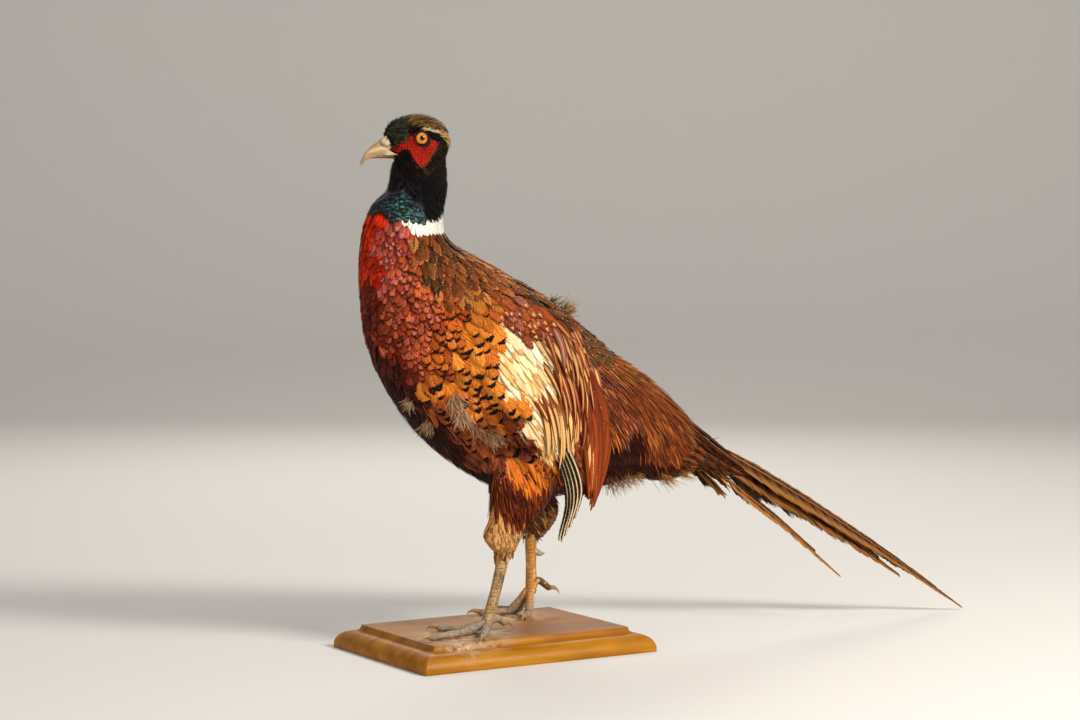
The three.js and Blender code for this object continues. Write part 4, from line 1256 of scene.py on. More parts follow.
def barbed_vanes(spine, normal, way, width, drop, shares, lengths, numbers, uv, colours, rng):
    """Feathers whose outer halves are made of slanting barbs, each over a plain backing."""
    count = len(spine)
    sine, cosine = math.sin(BARB_SLANT), math.cos(BARB_SLANT)
    longest = lengths.max()
    widest = width.max()
    barbs = int(math.ceil((longest * (1 - BARBED_FROM) * sine + widest * cosine) / BARB_PITCH))
    fine = np.linspace(BARBED_FROM, 1, 60)[None] * np.ones((count, 1))
    outline = sample(width, shares, fine)
    run = lengths[:, None] * fine * sine - outline * cosine
    run = np.maximum.accumulate(run - run[:, :1], axis=1)
    batches = []
    for side, sign in ((0, -1), (1, 1)):
        places = (np.arange(barbs)[None] + 0.5 + rng.uniform(-0.25, 0.25, (count, barbs))) / barbs
        end = np.array([np.interp(p * r[-1], r, f) for p, r, f in zip(places, run, fine)])
        wide = sample(width, shares, end)
        wide = wide * (1 + 0.07 * rng.normal(0, 1, wide.shape))
        start = np.maximum(end - wide / (lengths[:, None] * math.tan(BARB_SLANT)), 0.05)
        bend = BARB_ROWS * (0.8 + 0.2 * BARB_ROWS)
        t = start[..., None] + (end - start)[..., None] * bend
        t = t + rng.normal(0, 0.010, end.shape)[..., None] * BARB_ROWS
        held = np.clip(t, 0, 1)
        centre, ahead, up = (sample(values, shares, held) for values in (spine, way, normal))
        across = unit(np.cross(ahead, up))
        local = np.maximum(sample(width, shares, held), 0.3)
        out = wide[..., None] * BARB_ROWS
        share = np.clip(out / local, 0, 1.1)
        fall = sample(drop[..., side], shares, held) * share**2
        lift = 0.22 + rng.normal(0, 0.10, end.shape)[..., None] * BARB_ROWS
        beyond = np.maximum(t - 1, 0)[..., None] * lengths[:, None, None, None]
        points = centre + across * (sign * out)[..., None] + up * (lift - fall)[..., None] + ahead * beyond
        rows = (count * barbs, len(BARB_ROWS))
        points = points.reshape(*rows, 3)
        thick = BARB_TAPER * BARB_PITCH * rng.uniform(0.85, 1.2, (count * barbs, 1))
        batch = Batch(points, up.reshape(*rows, 3), unit(np.gradient(points, axis=1)), thick, "barb")
        along, across, aside = (values[..., None] * np.ones(COLUMNS["barb"])
                                for values in (t, sign * share, sign * out))
        data, places = located(across, along, aside, along * lengths[:, None, None, None],
                               numbers[:, None, None, None], uv[:, None, None, None])
        for key, values in colours.items():
            data[key] = values[:, None, None, None] * np.ones((*along.shape, 1))
        flat = (*rows, COLUMNS["barb"])
        batch.data = {key: values.reshape(*flat, -1) for key, values in data.items()}
        batch.uv = places.reshape(*flat, 2)
        batches.append(batch)
    kept = BACKING_ROWS
    backing = Batch(spine[:, kept], normal[:, kept], way[:, kept], width[:, kept] * BACKING_WIDTH, "backing",
                    drop[:, kept] * BACKING_WIDTH**2)
    backing.fill(shares[kept], lengths, numbers, uv, colours)
    batches.append(backing)
    return batches


def side_drops(skin, spine, normal, way, width):
    """How far the skin falls away under both rims of every vane, row by row."""
    sideways = unit(np.cross(way, normal))
    drop = np.zeros(width.shape + (2,))
    find = skin.tree.find_nearest
    for side, sign in ((0, -1), (1, 1)):
        rims = spine + sideways * (sign * width[..., None])
        for f in range(len(rims)):
            for k in range(1, rims.shape[1]):
                rim = Vector(rims[f, k])
                near = find(rim)[0]
                drop[f, k, side] = Vector(normal[f, k]).dot(rim - near)
    limit = 0.35 * width[..., None]
    return np.clip(drop, -0.25 * limit, limit)


BILL_REAR = ((-17, -17.8), (-14.4, -18.2), (-12.3, -22.4), (-9.5, -25.6), (-7.3, -26.4), (-4.9, -24.4),
             (-0.7, -23.6), (2.6, -25.2))  # where the bill ends and the feathers begin: height, backwards


SHANK_TOPS = 90


def free_of_cuts(points):
    """False where the flesh was cut flat: at the bill's root and the shanks' tops."""
    local = to_head(points)
    heights, rear = np.array(BILL_REAR).T
    ends = np.interp(local[:, 2], heights, rear)
    bill = (local[:, 0] < ends) & (local[:, 2] < 2.6) & (local[:, 2] > -17) & (points[:, 2] > HEAD_FROM)
    return ~bill & (points[:, 2] > SHANK_TOPS)


TUFTS = [  # place on the left side, way the down points, spread, count, length, colour
    ((-66, -46, 224), (0.45, -0.30, -0.85), 6.5, 130, 17, (214, 176, 136)),
    ((-60, -46, 208), (0.40, -0.30, -0.85), 5.5, 90, 14, (222, 190, 152)),
    ((-32, -46, 190), (0.55, -0.40, -0.60), 7.5, 150, 14, (206, 164, 124)),
    ((-44, -42, 196), (0.40, -0.40, -0.70), 5.5, 60, 11, (196, 140, 96)),
    ((-93, -16, 219), (-0.55, -0.30, -0.78), 4.5, 50, 11, (196, 166, 120)),
    ((-80, -22, 199), (-0.40, -0.25, -0.88), 5.5, 70, 12, (186, 152, 110)),
    ((60, -20, 294), (0.80, 0.0, 0.55), 5.0, 110, 14, (168, 132, 88)),
    ((50, -14, 300), (0.84, 0.0, 0.45), 4.5, 50, 11, (128, 98, 62)),
    ((108, -24, 141), (0.40, -0.10, -0.90), 7.0, 80, 14, (142, 100, 66)),
    ((124, -20, 138), (0.45, -0.10, -0.85), 8.0, 90, 14, (168, 128, 92)),
    ((136, -18, 138), (0.70, -0.10, -0.60), 5.0, 60, 13, (196, 140, 70)),
    ((164, -16, 142), (0.75, -0.10, -0.55), 7.0, 80, 16, (190, 126, 60)),
    ((184, -14, 147), (0.85, -0.10, -0.40), 6.0, 70, 14, (204, 142, 70)),
    ((198, -14, 160), (0.80, -0.10, -0.55), 7.0, 60, 12, (86, 36, 14)),
    ((44, 30, 128), (0.35, -0.20, -0.90), 6.0, 80, 17, (150, 96, 44)),
    ((54, 44, 118), (0.40, 0.10, -0.90), 6.0, 60, 15, (170, 116, 60)),
]


def make_down(skin, look):
    """Fluffs of loose down where the contour feathers part."""
    rng = np.random.default_rng(53)
    shares = np.array(SHARES["strand"])
    rows = len(shares)
    batches = []
    for where, way, spread, count, length, tone in TUFTS:
        centre = skin.tree.find_nearest(Vector(where))[0]
        starts = np.array(centre) + rng.normal(0, spread * 0.45, (count, 3))
        aims = unit(np.array(way) + rng.normal(0, 0.34, (count, 3)))
        bends = rng.normal(0, 0.38, (count, 3))
        lengths = length * rng.uniform(0.5, 1.1, count)
        spine = np.zeros((count, rows, 3))
        uv = np.zeros((count, 2))
        for f in range(count):
            near, normal, face, _ = skin.tree.find_nearest(Vector(starts[f]))
            out = np.array(normal) * (0.24 * lengths[f])
            for k, t in enumerate(shares):
                spine[f, k] = (np.array(near) + aims[f] * (lengths[f] * t) + out * t * (1 - 0.35 * t)
                               + bends[f] * (lengths[f] * 0.4 * t**2))
            uv[f] = skin.uv[face]
        ways = unit(np.gradient(spine, axis=1))
        normals = unit(np.cross(ways, unit(np.cross(ways, np.array([0.3, -0.8, 0.5]) + 0 * ways))))
        width = np.array([0.5, 0.62, 0.5, 0.34, 0.12]) * rng.uniform(0.4, 0.75, (count, 1))
        batch = Batch(spine, normals, ways, width, "strand")
        shade = np.exp(rng.normal(0, 0.2, (count, 1)))
        colours = for_all(flat_colours(tone), count)
        colours["base"][:, :3] *= shade
        batch.fill(shares, lengths, rng.random(count), uv, colours)
        batches.append(batch)
    joined("down_tufts", batches, "plumage_body", look)


# ------------------------------------------------------------------ long feathers, barb by barb
def through(points, shares):
    """A smooth path through a few points, sampled at shares of its whole."""
    points = np.asarray(points, float)
    knots = np.linspace(0, 1, len(points))
    tangents = np.gradient(points, knots, axis=0)
    shares = np.asarray(shares, float)
    i = np.clip(np.searchsorted(knots, shares, side="right") - 1, 0, len(points) - 2)
    span = knots[i + 1] - knots[i]
    t = ((shares - knots[i]) / span)[:, None]
    span = span[:, None]
    a, b = points[i], points[i + 1]
    m, n = tangents[i] * span, tangents[i + 1] * span
    return ((2 * t**3 - 3 * t**2 + 1) * a + (t**3 - 2 * t**2 + t) * m
            + (3 * t**2 - 2 * t**3) * b + (t**3 - t**2) * n)


class Shaft:
    """A closed tapering tube, ready to be joined with the vanes that it carries."""

    def __init__(self, path, radii, uv, number, colour):
        count, sides = len(path), 6
        along = unit(np.gradient(path, axis=0))
        side = unit(np.cross(along, np.array([0.05, 0.02, 1.0])))
        up = np.cross(side, along)
        turn = np.arange(sides) * 2 * np.pi / sides
        ring = np.cos(turn)[None, :, None] * side[:, None] + np.sin(turn)[None, :, None] * up[:, None]
        self.points = path[:, None] + ring * np.asarray(radii)[:, None, None]
        self.polygons = tube_polygons(count, sides)
        t = np.linspace(0, 1, count)[:, None] * np.ones((1, sides))
        length = np.linalg.norm(np.diff(path, axis=0), axis=1).sum()
        self.data, self.uv = located(0.0, t, 0.0, t * length, number, uv)
        self.data |= {key: np.zeros((*t.shape, 4)) for key in COLOURS}
        self.data["base"][..., :3] = srgb(*colour)


LONG_BARB_ROWS = np.array([0.0, 0.36, 0.72, 1.0])
LONG_BARB_TAPER = np.array([1.0, 1.05, 0.8, 0.25])


def barbed(path, across, out, inner, outer, number, rng, colours, uv, slant, pitch, ragged, gaps, shaft,
           shaft_colour, barb, start=0.04):
    """A long feather: a shaft and slanting barbs on both sides. path, across, out, inner and outer are
    given at even shares of its length; inner and outer are how far the vane reaches on each side."""
    rows = LONG_BARB_ROWS
    steps = np.linalg.norm(np.diff(path, axis=0), axis=1)
    length = steps.sum()
    knots = np.concatenate([[0], np.cumsum(steps)]) / length
    count = int(length * (1 - start) / pitch)

    def at(values, t):
        if values.ndim == 1:
            return np.interp(t, knots, values)
        return np.stack([np.interp(t, knots, values[:, c]) for c in range(values.shape[1])], -1)

    batches = []
    for sign, reach in ((-1, inner), (1, outer)):
        t0 = start + (1 - start) * (np.arange(count) + rng.random(count) * 0.6) / count
        clump = np.interp(np.arange(count), np.arange(0, count + 8, 7), rng.normal(0, 1, count // 7 + 2))
        wide = at(reach, t0) * (1 + ragged * clump + ragged * 0.6 * rng.normal(0, 1, count))
        lost = rng.random(count // 9 + 2)[np.arange(count) // 9] < gaps
        wide = np.where(lost, wide * 0.25, np.maximum(wide, 0.35))
        tilt = np.radians(slant) * (1 + 0.05 * clump)
        forward = wide / np.tan(tilt)
        spine = np.zeros((count, len(rows), 3))
        for k, r in enumerate(rows):
            bend = r * (0.75 + 0.25 * r)  # barbs curve forward
            t = t0 + forward * bend / length
            over = np.maximum(t - 1, 0)[:, None] * length
            t = np.minimum(t, 1)
            ahead = unit(at(path, np.minimum(t + 0.01, 1)) - at(path, np.minimum(t, 0.99)))
            spine[:, k] = (at(path, t) + ahead * over * 0.6
                           + at(across, t) * (sign * wide * r * (1.08 - 0.08 * r))[:, None])
        lift = rng.normal(0, 0.16, count)[:, None, None] * rows[None, :, None]
        normal = at(out, np.minimum(t0, 1))[:, None] * np.ones((1, len(rows), 1))
        spine += normal * lift
        way = unit(np.gradient(spine, axis=1))
        width = LONG_BARB_TAPER * barb * np.ones((count, 1)) * rng.uniform(0.85, 1.15, (count, 1))
        batch = Batch(spine, normal, way, width, "barb")
        batch.fill(rows, wide, np.full(count, number), np.tile(uv, (count, 1)), for_all(colours, count))
        # All of a barb is at its own place along the feather, so that bars run along the barbs.
        share = sign * rows[None, :, None] * np.ones((1, 1, COLUMNS["barb"]))
        along = t0[:, None, None]
        data, batch.uv = located(share, along, share * wide[:, None, None], along * length, number, uv)
        batch.data |= data
        batches.append(batch)
    t = np.linspace(0, 1, 26)
    lifted = at(path, t) + at(out, t) * 0.25
    batches.append(Shaft(lifted, np.interp(t, [0, 1], shaft), uv, number, shaft_colour))
    return batches


TAIL_ROOT = np.array([196.0, 0.0, 184.0])
TAIL_PITCH = (3.2, -8.0)  # between one root and the next, outwards and down
TAIL_ARCH = 7.0
TAIL_TONES = (228, 222, 214), (212, 202, 192), (255, 255, 252), (198, 190, 182)
TAIL_COVERTS = 44  # shorter feathers over the root of the tail
COVERT_LIFT = 4.5  # of their roots, over the rump's plumes
TAIL = [  # the tips of the left and right feather of each pair, their width, and their lean from level
    ((489, -43, 4), (472, -28, 21), 26, 0.8),
    ((417, -38, 40), (405, -24, 55), 26, 1.0),
    ((345, -42, 44), (333, -20, 66), 12, 1.1),
    ((222, -34, 125), (238, 8, 128), 14, 1.2),
]


def tail_width(t):
    """The outline of a tail feather: widest near its root, long and pointed."""
    return np.minimum(1, 0.35 + 3 * t) * (1 - 0.90 * t**1.8)


def tail_look():
    """Olive-brown vanes with slanting dark bars, rufous rims, a pale upper edge, and a darker other half,
    partly painted shade.
    """
    look = Look("tail_vanes", Roughness=0.55, Specular_IOR_Level=0.18)
    across, _, number = look.split(look.attribute("vane")["Vector"])
    aside, forward, _ = look.split(look.attribute("span")["Vector"])
    size = abs(across)
    own = look.attribute("base")
    streak = look.vector(forward * 0.55, aside * 0.2, number * 41.0)
    fine = look.noise(streak, 1.0, 3.0)
    broad = look.noise(look.stretch(streak, (0.09, 0.6, 1)), 1.0, 2.0)
    wave = abs(aside).times(1.1, broad.times(9.0, forward))
    phase = look.math("PINGPONG", wave, 7.0)
    bar = (1.0 - phase.step(2.2, 3.6)) * size.step(0.02, 0.12)
    colour = look.mix(fine.step(0.25, 0.75), srgb(90, 44, 13), srgb(166, 98, 34))
    colour = look.mix(size.step(0.5, 1.0) * 0.7, colour, srgb(134, 62, 24))
    colour = look.mix(bar * 0.85, colour, srgb(24, 12, 8))
    colour = look.mix((across * -1.0).step(0.25, 0.8) * 0.5, colour, srgb(220, 158, 80))
    # One half of each vane is darkened: partly its own colour, partly painted shade between the feathers.
    colour = look.mix(across.step(0.12, 0.5) * 0.5, colour, srgb(48, 22, 10))
    colour = look.mix(1.0, colour, own["Color"], "MULTIPLY")
    look.colour(look.mix(own["Alpha"], own["Color"], colour))
    look.bump(fine, 0.3, 0.0005)
    return look.material


def flat_colours(base, edge=(0, 0, 0), edge_width=0.0, spot=(0, 0, 0), form=(0, 0, 0, 0), shaft=0.0):
    return {"base": (*srgb(*base), 1.0), "edge": (*srgb(*edge), edge_width),
            "spot": (*srgb(*spot), shaft), "form": form}


def make_tail(skin):
    """The four pairs of tail feathers and the coverts over their roots, barb by barb."""
    rng = np.random.default_rng(31)
    t = np.linspace(0, 1, 40)
    batches = []
    for index, (side, _) in enumerate(SIDES):
        for rank, (*tips, width, lean) in enumerate(TAIL):
            root = TAIL_ROOT + np.array([0, side * TAIL_PITCH[0], rank * TAIL_PITCH[1]])
            tip = np.array(tips[index], float)
            path = root + (tip - root) * t[:, None]
            path[:, 2] += TAIL_ARCH * (1 - rank / len(TAIL)) * np.sin(np.pi * t)
            path[:, 2] += 0.6 * np.sin(9 * t + rank) * t  # old feathers are never quite straight
            across = np.array([0, side * math.cos(lean), -math.sin(lean)]) * np.ones((40, 1))
            out = np.array([0, side * math.sin(lean), math.cos(lean)]) * np.ones((40, 1))
            if side < 0:  # keeps across, way and out right-handed
                across, inner, outer = -across, 1.5, 0.42
            else:
                inner, outer = 0.42, 1.5
            half = width / 2 * tail_width(t)
            tone = TAIL_TONES[rank]
            batches += barbed(path, across, out, inner * half, outer * half, rng.random(), rng,
                              flat_colours(tone), skin.uv_near(root), slant=30, pitch=0.95,
                              ragged=0.07 + 0.03 * rank, gaps=0.02 + 0.05 * rank,
                              shaft=(0.7, 0.2), shaft_colour=(158, 108, 60), barb=0.75)
    for j in range(TAIL_COVERTS):
        side = 1 if j % 2 else -1
        share = rng.random()
        forward = rng.uniform(2, 6 + 26 * share)
        root = TAIL_ROOT + np.array([-forward, side * (2 + 24 * share), 14 - 40 * share])
        ground, normal = skin.tree.find_nearest(Vector(root))[:2]
        root = np.array(ground) + np.array(normal) * COVERT_LIFT * (0.3 + 0.7 * share)
        target = TAIL_ROOT + np.array([75, 4 * side - 9, -48 - 4 * share])
        way = unit(unit(target - root) + rng.normal(0, 0.015, 3))
        path = root + way * (rng.uniform(62, 112) * t)[:, None]
        path[:, 2] += 0.6 * np.sin(np.pi * t)
        out = unit(np.array([0.2, side * share, 1.1 - share]) * np.ones((40, 1)))
        out = unit(out - way * (out @ way)[:, None])
        across = np.cross(way * np.ones((40, 1)), out)
        half = rng.uniform(4.2, 6.2) * tail_width(t)
        batches += barbed(path, across, out, half, half, rng.random(), rng, flat_colours((224, 190, 160)),
                          skin.uv_near(root), slant=24, pitch=1.5, ragged=0.10, gaps=0.02, shaft=(0.4, 0.2),
                          shaft_colour=(120, 76, 40), barb=0.9)
    nodes = [f"tail_feather_{side}_{rank + 1}" for _, side in SIDES for rank in range(len(TAIL))]
    joined("tail_feathers", batches, "plumage_tail", tail_look(), nodes)


PRIMARIES = [  # root, two knees and tip of the folded flight feathers as (x, side, z), inner ones first
    ((10, 60, 204), (28, 63, 168), (37.5, 61.5, 133), (31, 57, 99)),
    ((12, 61, 204), (30.5, 64, 168), (40, 62.5, 134), (33, 58, 98)),
    ((14, 62, 204), (33, 65, 169), (42.5, 63.5, 136), (36, 59, 103)),
    ((16, 63, 204), (35.5, 66, 170), (45.5, 64.5, 139), (40, 60, 110)),
    ((18, 64, 204), (38, 67, 172), (48.5, 65.5, 143), (44.5, 61, 118)),
]


def make_primaries(skin, side, name, look):
    """The dark ends of the folded flight feathers, each with a thin cream rim, curving in together."""
    rng = np.random.default_rng(37)
    t = np.linspace(0, 1, 34)
    batches = []
    for places in PRIMARIES:
        path = through(places, t) * (1, side, 1)
        ahead = unit(np.gradient(path, axis=0))
        out = unit(np.array([0.12, side, 0.08]) * np.ones((34, 1)))
        out = unit(out - ahead * (out * ahead).sum(1, keepdims=True))
        across = np.cross(ahead, out)
        rear = np.sign(across[17, 0])
        width = np.minimum(1, 0.4 + 2.5 * t) * np.sqrt(np.maximum(1 - t**3, 0.001))
        narrow, broad = 1.4 * width, 4.4 * width
        inner, outer = (broad, narrow) if rear > 0 else (narrow, broad)
        batches += barbed(path, across, out, inner, outer, rng.random(), rng,
                          flat_colours((40, 22, 12)), skin.uv_near(path[0]), slant=24,
                          pitch=0.9, ragged=0.02, gaps=0.0, shaft=(0.5, 0.3),
                          shaft_colour=(120, 84, 52), barb=0.7)
        # The cream rim: a thin strip of barbs along the feather's front.
        rim_path = path - across * (rear * narrow * 0.9)[:, None] + out * 0.45
        rim = np.full(34, 0.45) * np.sqrt(np.maximum(1 - t**6, 0.01))
        batches += barbed(rim_path, across, out, rim, rim, rng.random(), rng,
                          flat_colours((246, 222, 176)), skin.uv_near(path[0]), slant=16,
                          pitch=0.8, ragged=0.05, gaps=0.0, shaft=(0.42, 0.2),
                          shaft_colour=(240, 214, 168), barb=0.55, start=0.26)
    joined(f"primaries_{name}_feathers", batches, "plumage_flight", look, [f"primaries_{name}"])


# Long coverts and tertials: (x, z) of the first and last root and tip of a fan of feathers, and how
# many, their half-width, how far they lie out, and their kind.
FANS = [
    ((38, 232), (58, 240), (55, 142), (74, 121), 6, 8.5, 4.6, "corner"),
    ((26, 240), (52, 250), (44, 176), (70, 154), 6, 6.0, 3.0, "rust"),
    ((-4, 232), (20, 244), (12, 180), (40, 163), 10, 3.8, 3.4, "tipped"),
    ((18, 248), (60, 254), (36, 182), (78, 176), 12, 4.0, 3.8, "dark"),
    ((10, 258), (56, 268), (24, 210), (72, 208), 12, 3.4, 4.2, "streak"),
    ((6, 272), (56, 280), (20, 232), (66, 240), 12, 3.2, 4.6, "gilded"),
    ((10, 286), (54, 292), (22, 250), (64, 258), 9, 3.2, 5.0, "streak"),
]
LONG_COLOURS = {
    "corner": flat_colours((142, 58, 14), (108, 40, 10), 0.05, (224, 176, 112), (0.42, 0.80, 0.20, 0.10),
        0.4),
    "rust": flat_colours((126, 50, 16), (88, 32, 11), 0.06, (188, 104, 40), (0.1, 0.9, 0.2, 0.05), 0.5),
    "tipped": flat_colours((134, 62, 24), (100, 44, 17), 0.08, (212, 166, 102), (0.35, 1.3, 0.4, 1.1), 0.5),
    "dark": flat_colours((124, 48, 16), (84, 28, 11), 0.08, (206, 154, 88), (0.55, 1.02, 0.18, 0.6), 0.3),
    "streak": flat_colours((122, 52, 22), (84, 34, 15), 0.10, (190, 136, 76), (0.12, 0.96, 0.45, 0.3), 0.3),
    "gilded": flat_colours((150, 84, 40), (96, 44, 19), 0.10, (214, 168, 104), (0.12, 0.97, 0.6, 0.35),
        0.3),
}
# A sheen painted into the colour of a few long feathers.
LILAC_SHEEN = (150, 112, 110)


OUTSIDE = 110.0  # further from the middle than any part of the bird
OFF_SKIN = 30.0  # how far out a feather lies where there is no skin beside it
QUILL_FALL = 0.22  # how far a stiff quill follows the skin inwards, as a share of its step


def laid(skin, places, side, lift):
    """A path of (x, z) places laid on the bird's side from outside, as stiffly as a quill."""
    points = []
    before = None
    for k, (x, z) in enumerate(places):
        hit = skin.tree.ray_cast(Vector((x, side * OUTSIDE, z)), Vector((0, -side, 0)), OUTSIDE)
        out = OFF_SKIN if hit[0] is None else abs(hit[0].y)
        if before is not None:
            out = max(out, before - QUILL_FALL * math.dist(places[k], places[k - 1]))
        before = out
        points.append((x, side * (out + lift * min(1.0, 0.15 + k / len(places))), z))
    return relax_path(np.array(points), 3)


def relax_path(path, rounds):
    """Evens out how far a path lies from the bird's middle."""
    for _ in range(rounds):
        middle = (path[:-2] + path[2:]) / 2
        path[1:-1, 1] = path[1:-1, 1] * 0.5 + middle[:, 1] * 0.5
    return path


def make_long_feathers(skin, side, name, look):
    """Long coverts and tertials, which hang over the flight feathers to the wing's lower tip."""
    rng = np.random.default_rng(41)
    t = np.linspace(0, 1, 24)
    lilac = np.array(srgb(*LILAC_SHEEN))
    batches = []
    for root_a, root_b, tip_a, tip_b, count, half, lift, kind in FANS:
        for j in range(count):
            share = (j + rng.uniform(-0.3, 0.3)) / (count - 1)
            root = np.array(root_a) + (np.array(root_b) - root_a) * share + rng.normal(0, 2.5, 2)
            tip = np.array(tip_a) + (np.array(tip_b) - tip_a) * share + rng.normal(0, (2.0, 6.0), 2)
            chord = tip - root
            bow = np.array([-chord[1], chord[0]]) * rng.uniform(0.03, 0.12)
            places = root + chord * t[:, None] + bow * np.sin(np.pi * t)[:, None]
            path = laid(skin, places, side, lift + 0.25 * (j % 3))
            ahead = unit(np.gradient(path, axis=0))
            out = unit(np.array([0.0, side, 0.0]) - ahead * (ahead[:, 1:2] * side))
            size = half * rng.uniform(0.7, 1.25)
            point = rng.uniform(1.7, 2.8)
            width = size * np.minimum(1, 0.45 + 2 * t) * np.maximum(1 - t**point, 0.01) ** 0.7
            colours = dict(LONG_COLOURS[kind])
            tone = math.exp(rng.normal(0, 0.14))
            base = np.array(colours["base"][:3]) * tone
            # A fifth of the streaked and dark feathers get a painted sheen mixed into their colour.
            if kind in ("streak", "dark") and rng.random() < 0.2:
                base = base * 0.65 + lilac * 0.35
            colours["base"] = (*base, 1.0)
            form = np.array(colours["form"]) * rng.uniform(0.7, 1.3, 4)
            if rng.random() < 0.36:
                form[2:] *= 0.3  # hardly any streak
            colours["form"] = tuple(form)
            spot = np.array(colours["spot"][:3]) * math.exp(rng.normal(0, 0.16))
            colours["spot"] = (*spot, colours["spot"][3])
            vane = Batch(path[None], out[None], ahead[None], width[None], "plate")
            vane.fill(t, np.array([math.dist(path[0], path[-1])]), rng.random(1),
                      skin.uv_near(path[0])[None], for_all(colours, 1))
            batches.append(vane)
    joined(f"long_coverts_{name}", batches, "plumage_wing", look)


# ------------------------------------------------------------------ bill and eyes
# Stations along each half of the bill, in the head's frame: the ridge's x and z, the rim's x and z,
# and the half-width.
UPPER_BILL = [(-17, 1.0, -12, -13.4, 6.0), (-20, 2.2, -15, -14.0, 6.2), (-25, 2.4, -20, -14.3, 5.8),
              (-32, -1.4, -27, -14.7, 4.9), (-39, -6.3, -34.5, -15.4, 3.9), (-45, -12.4, -41.5, -17.2, 2.7),
              (-48.2, -18, -45.6, -20.2, 1.6), (-49.8, -23.4, -48.6, -23.8, 0.6)]
LOWER_BILL = [(-13, -12.2, -13, -17, 5.2), (-16, -12.6, -16, -17.2, 5.2), (-22, -13, -22, -17, 4.5),
              (-30, -14, -30, -16.7, 3.4), (-37, -15, -37, -16.8, 2.2), (-41, -16.2, -41, -17.0, 1.0)]
HORN = (192, 156, 102)
PALE_HORN = (240, 222, 184)
# The colour of the painted shade in the bill's slit and behind its flaps.
BILL_SHADE = (66, 42, 26)
FLAP = (-27.4, -2.0, 5.4, 4.5)  # the horny flap over a nostril: middle, backwards and up, and reach
LOBE = (-24.9, -7.0, 2.2, 1.5)  # the small swelling under it


def grid_mesh(name, grid):
    """A closed mesh round a grid of points (rows by columns), each row a ring."""
    return array_mesh(name, grid.reshape(-1, 3), tube_polygons(*grid.shape[:2]))


def bill_grid(stations, sides, steps, is_upper):
    """Rings along one half of the bill, in the head's frame."""
    s = through(stations, np.linspace(0, 1, steps))
    turn = np.arange(sides) * 2 * np.pi / sides
    c, v = np.cos(turn), np.sin(turn)
    lateral = np.sign(c) * np.abs(c) ** 0.85
    middle = 0.25 if is_upper else 0.72  # where the widest line lies, from the lower to the upper rim
    share = np.where(v > 0, middle + (1 - middle) * v, middle + middle * v)
    x = s[:, 2:3] + (s[:, 0:1] - s[:, 2:3]) * share
    z = s[:, 3:4] + (s[:, 1:2] - s[:, 3:4]) * share
    y = s[:, 4:5] * lateral
    return np.stack([x, y, z], -1)


def swelling(x, z, middle_x, middle_z, reach_x, reach_z):
    """1 over most of a rounded swelling, falling steeply to 0 at its rim."""
    away = ((x - middle_x) / reach_x) ** 2 + ((z - middle_z) / reach_z) ** 2
    return smooth(1 - away, 0.0, 0.5)


def washed(colours, tone, amount):
    """Colours with the given amount, from 0 to 1, of a tone over them."""
    return colours * (1 - amount[..., None]) + np.array(srgb(*tone)) * amount[..., None]


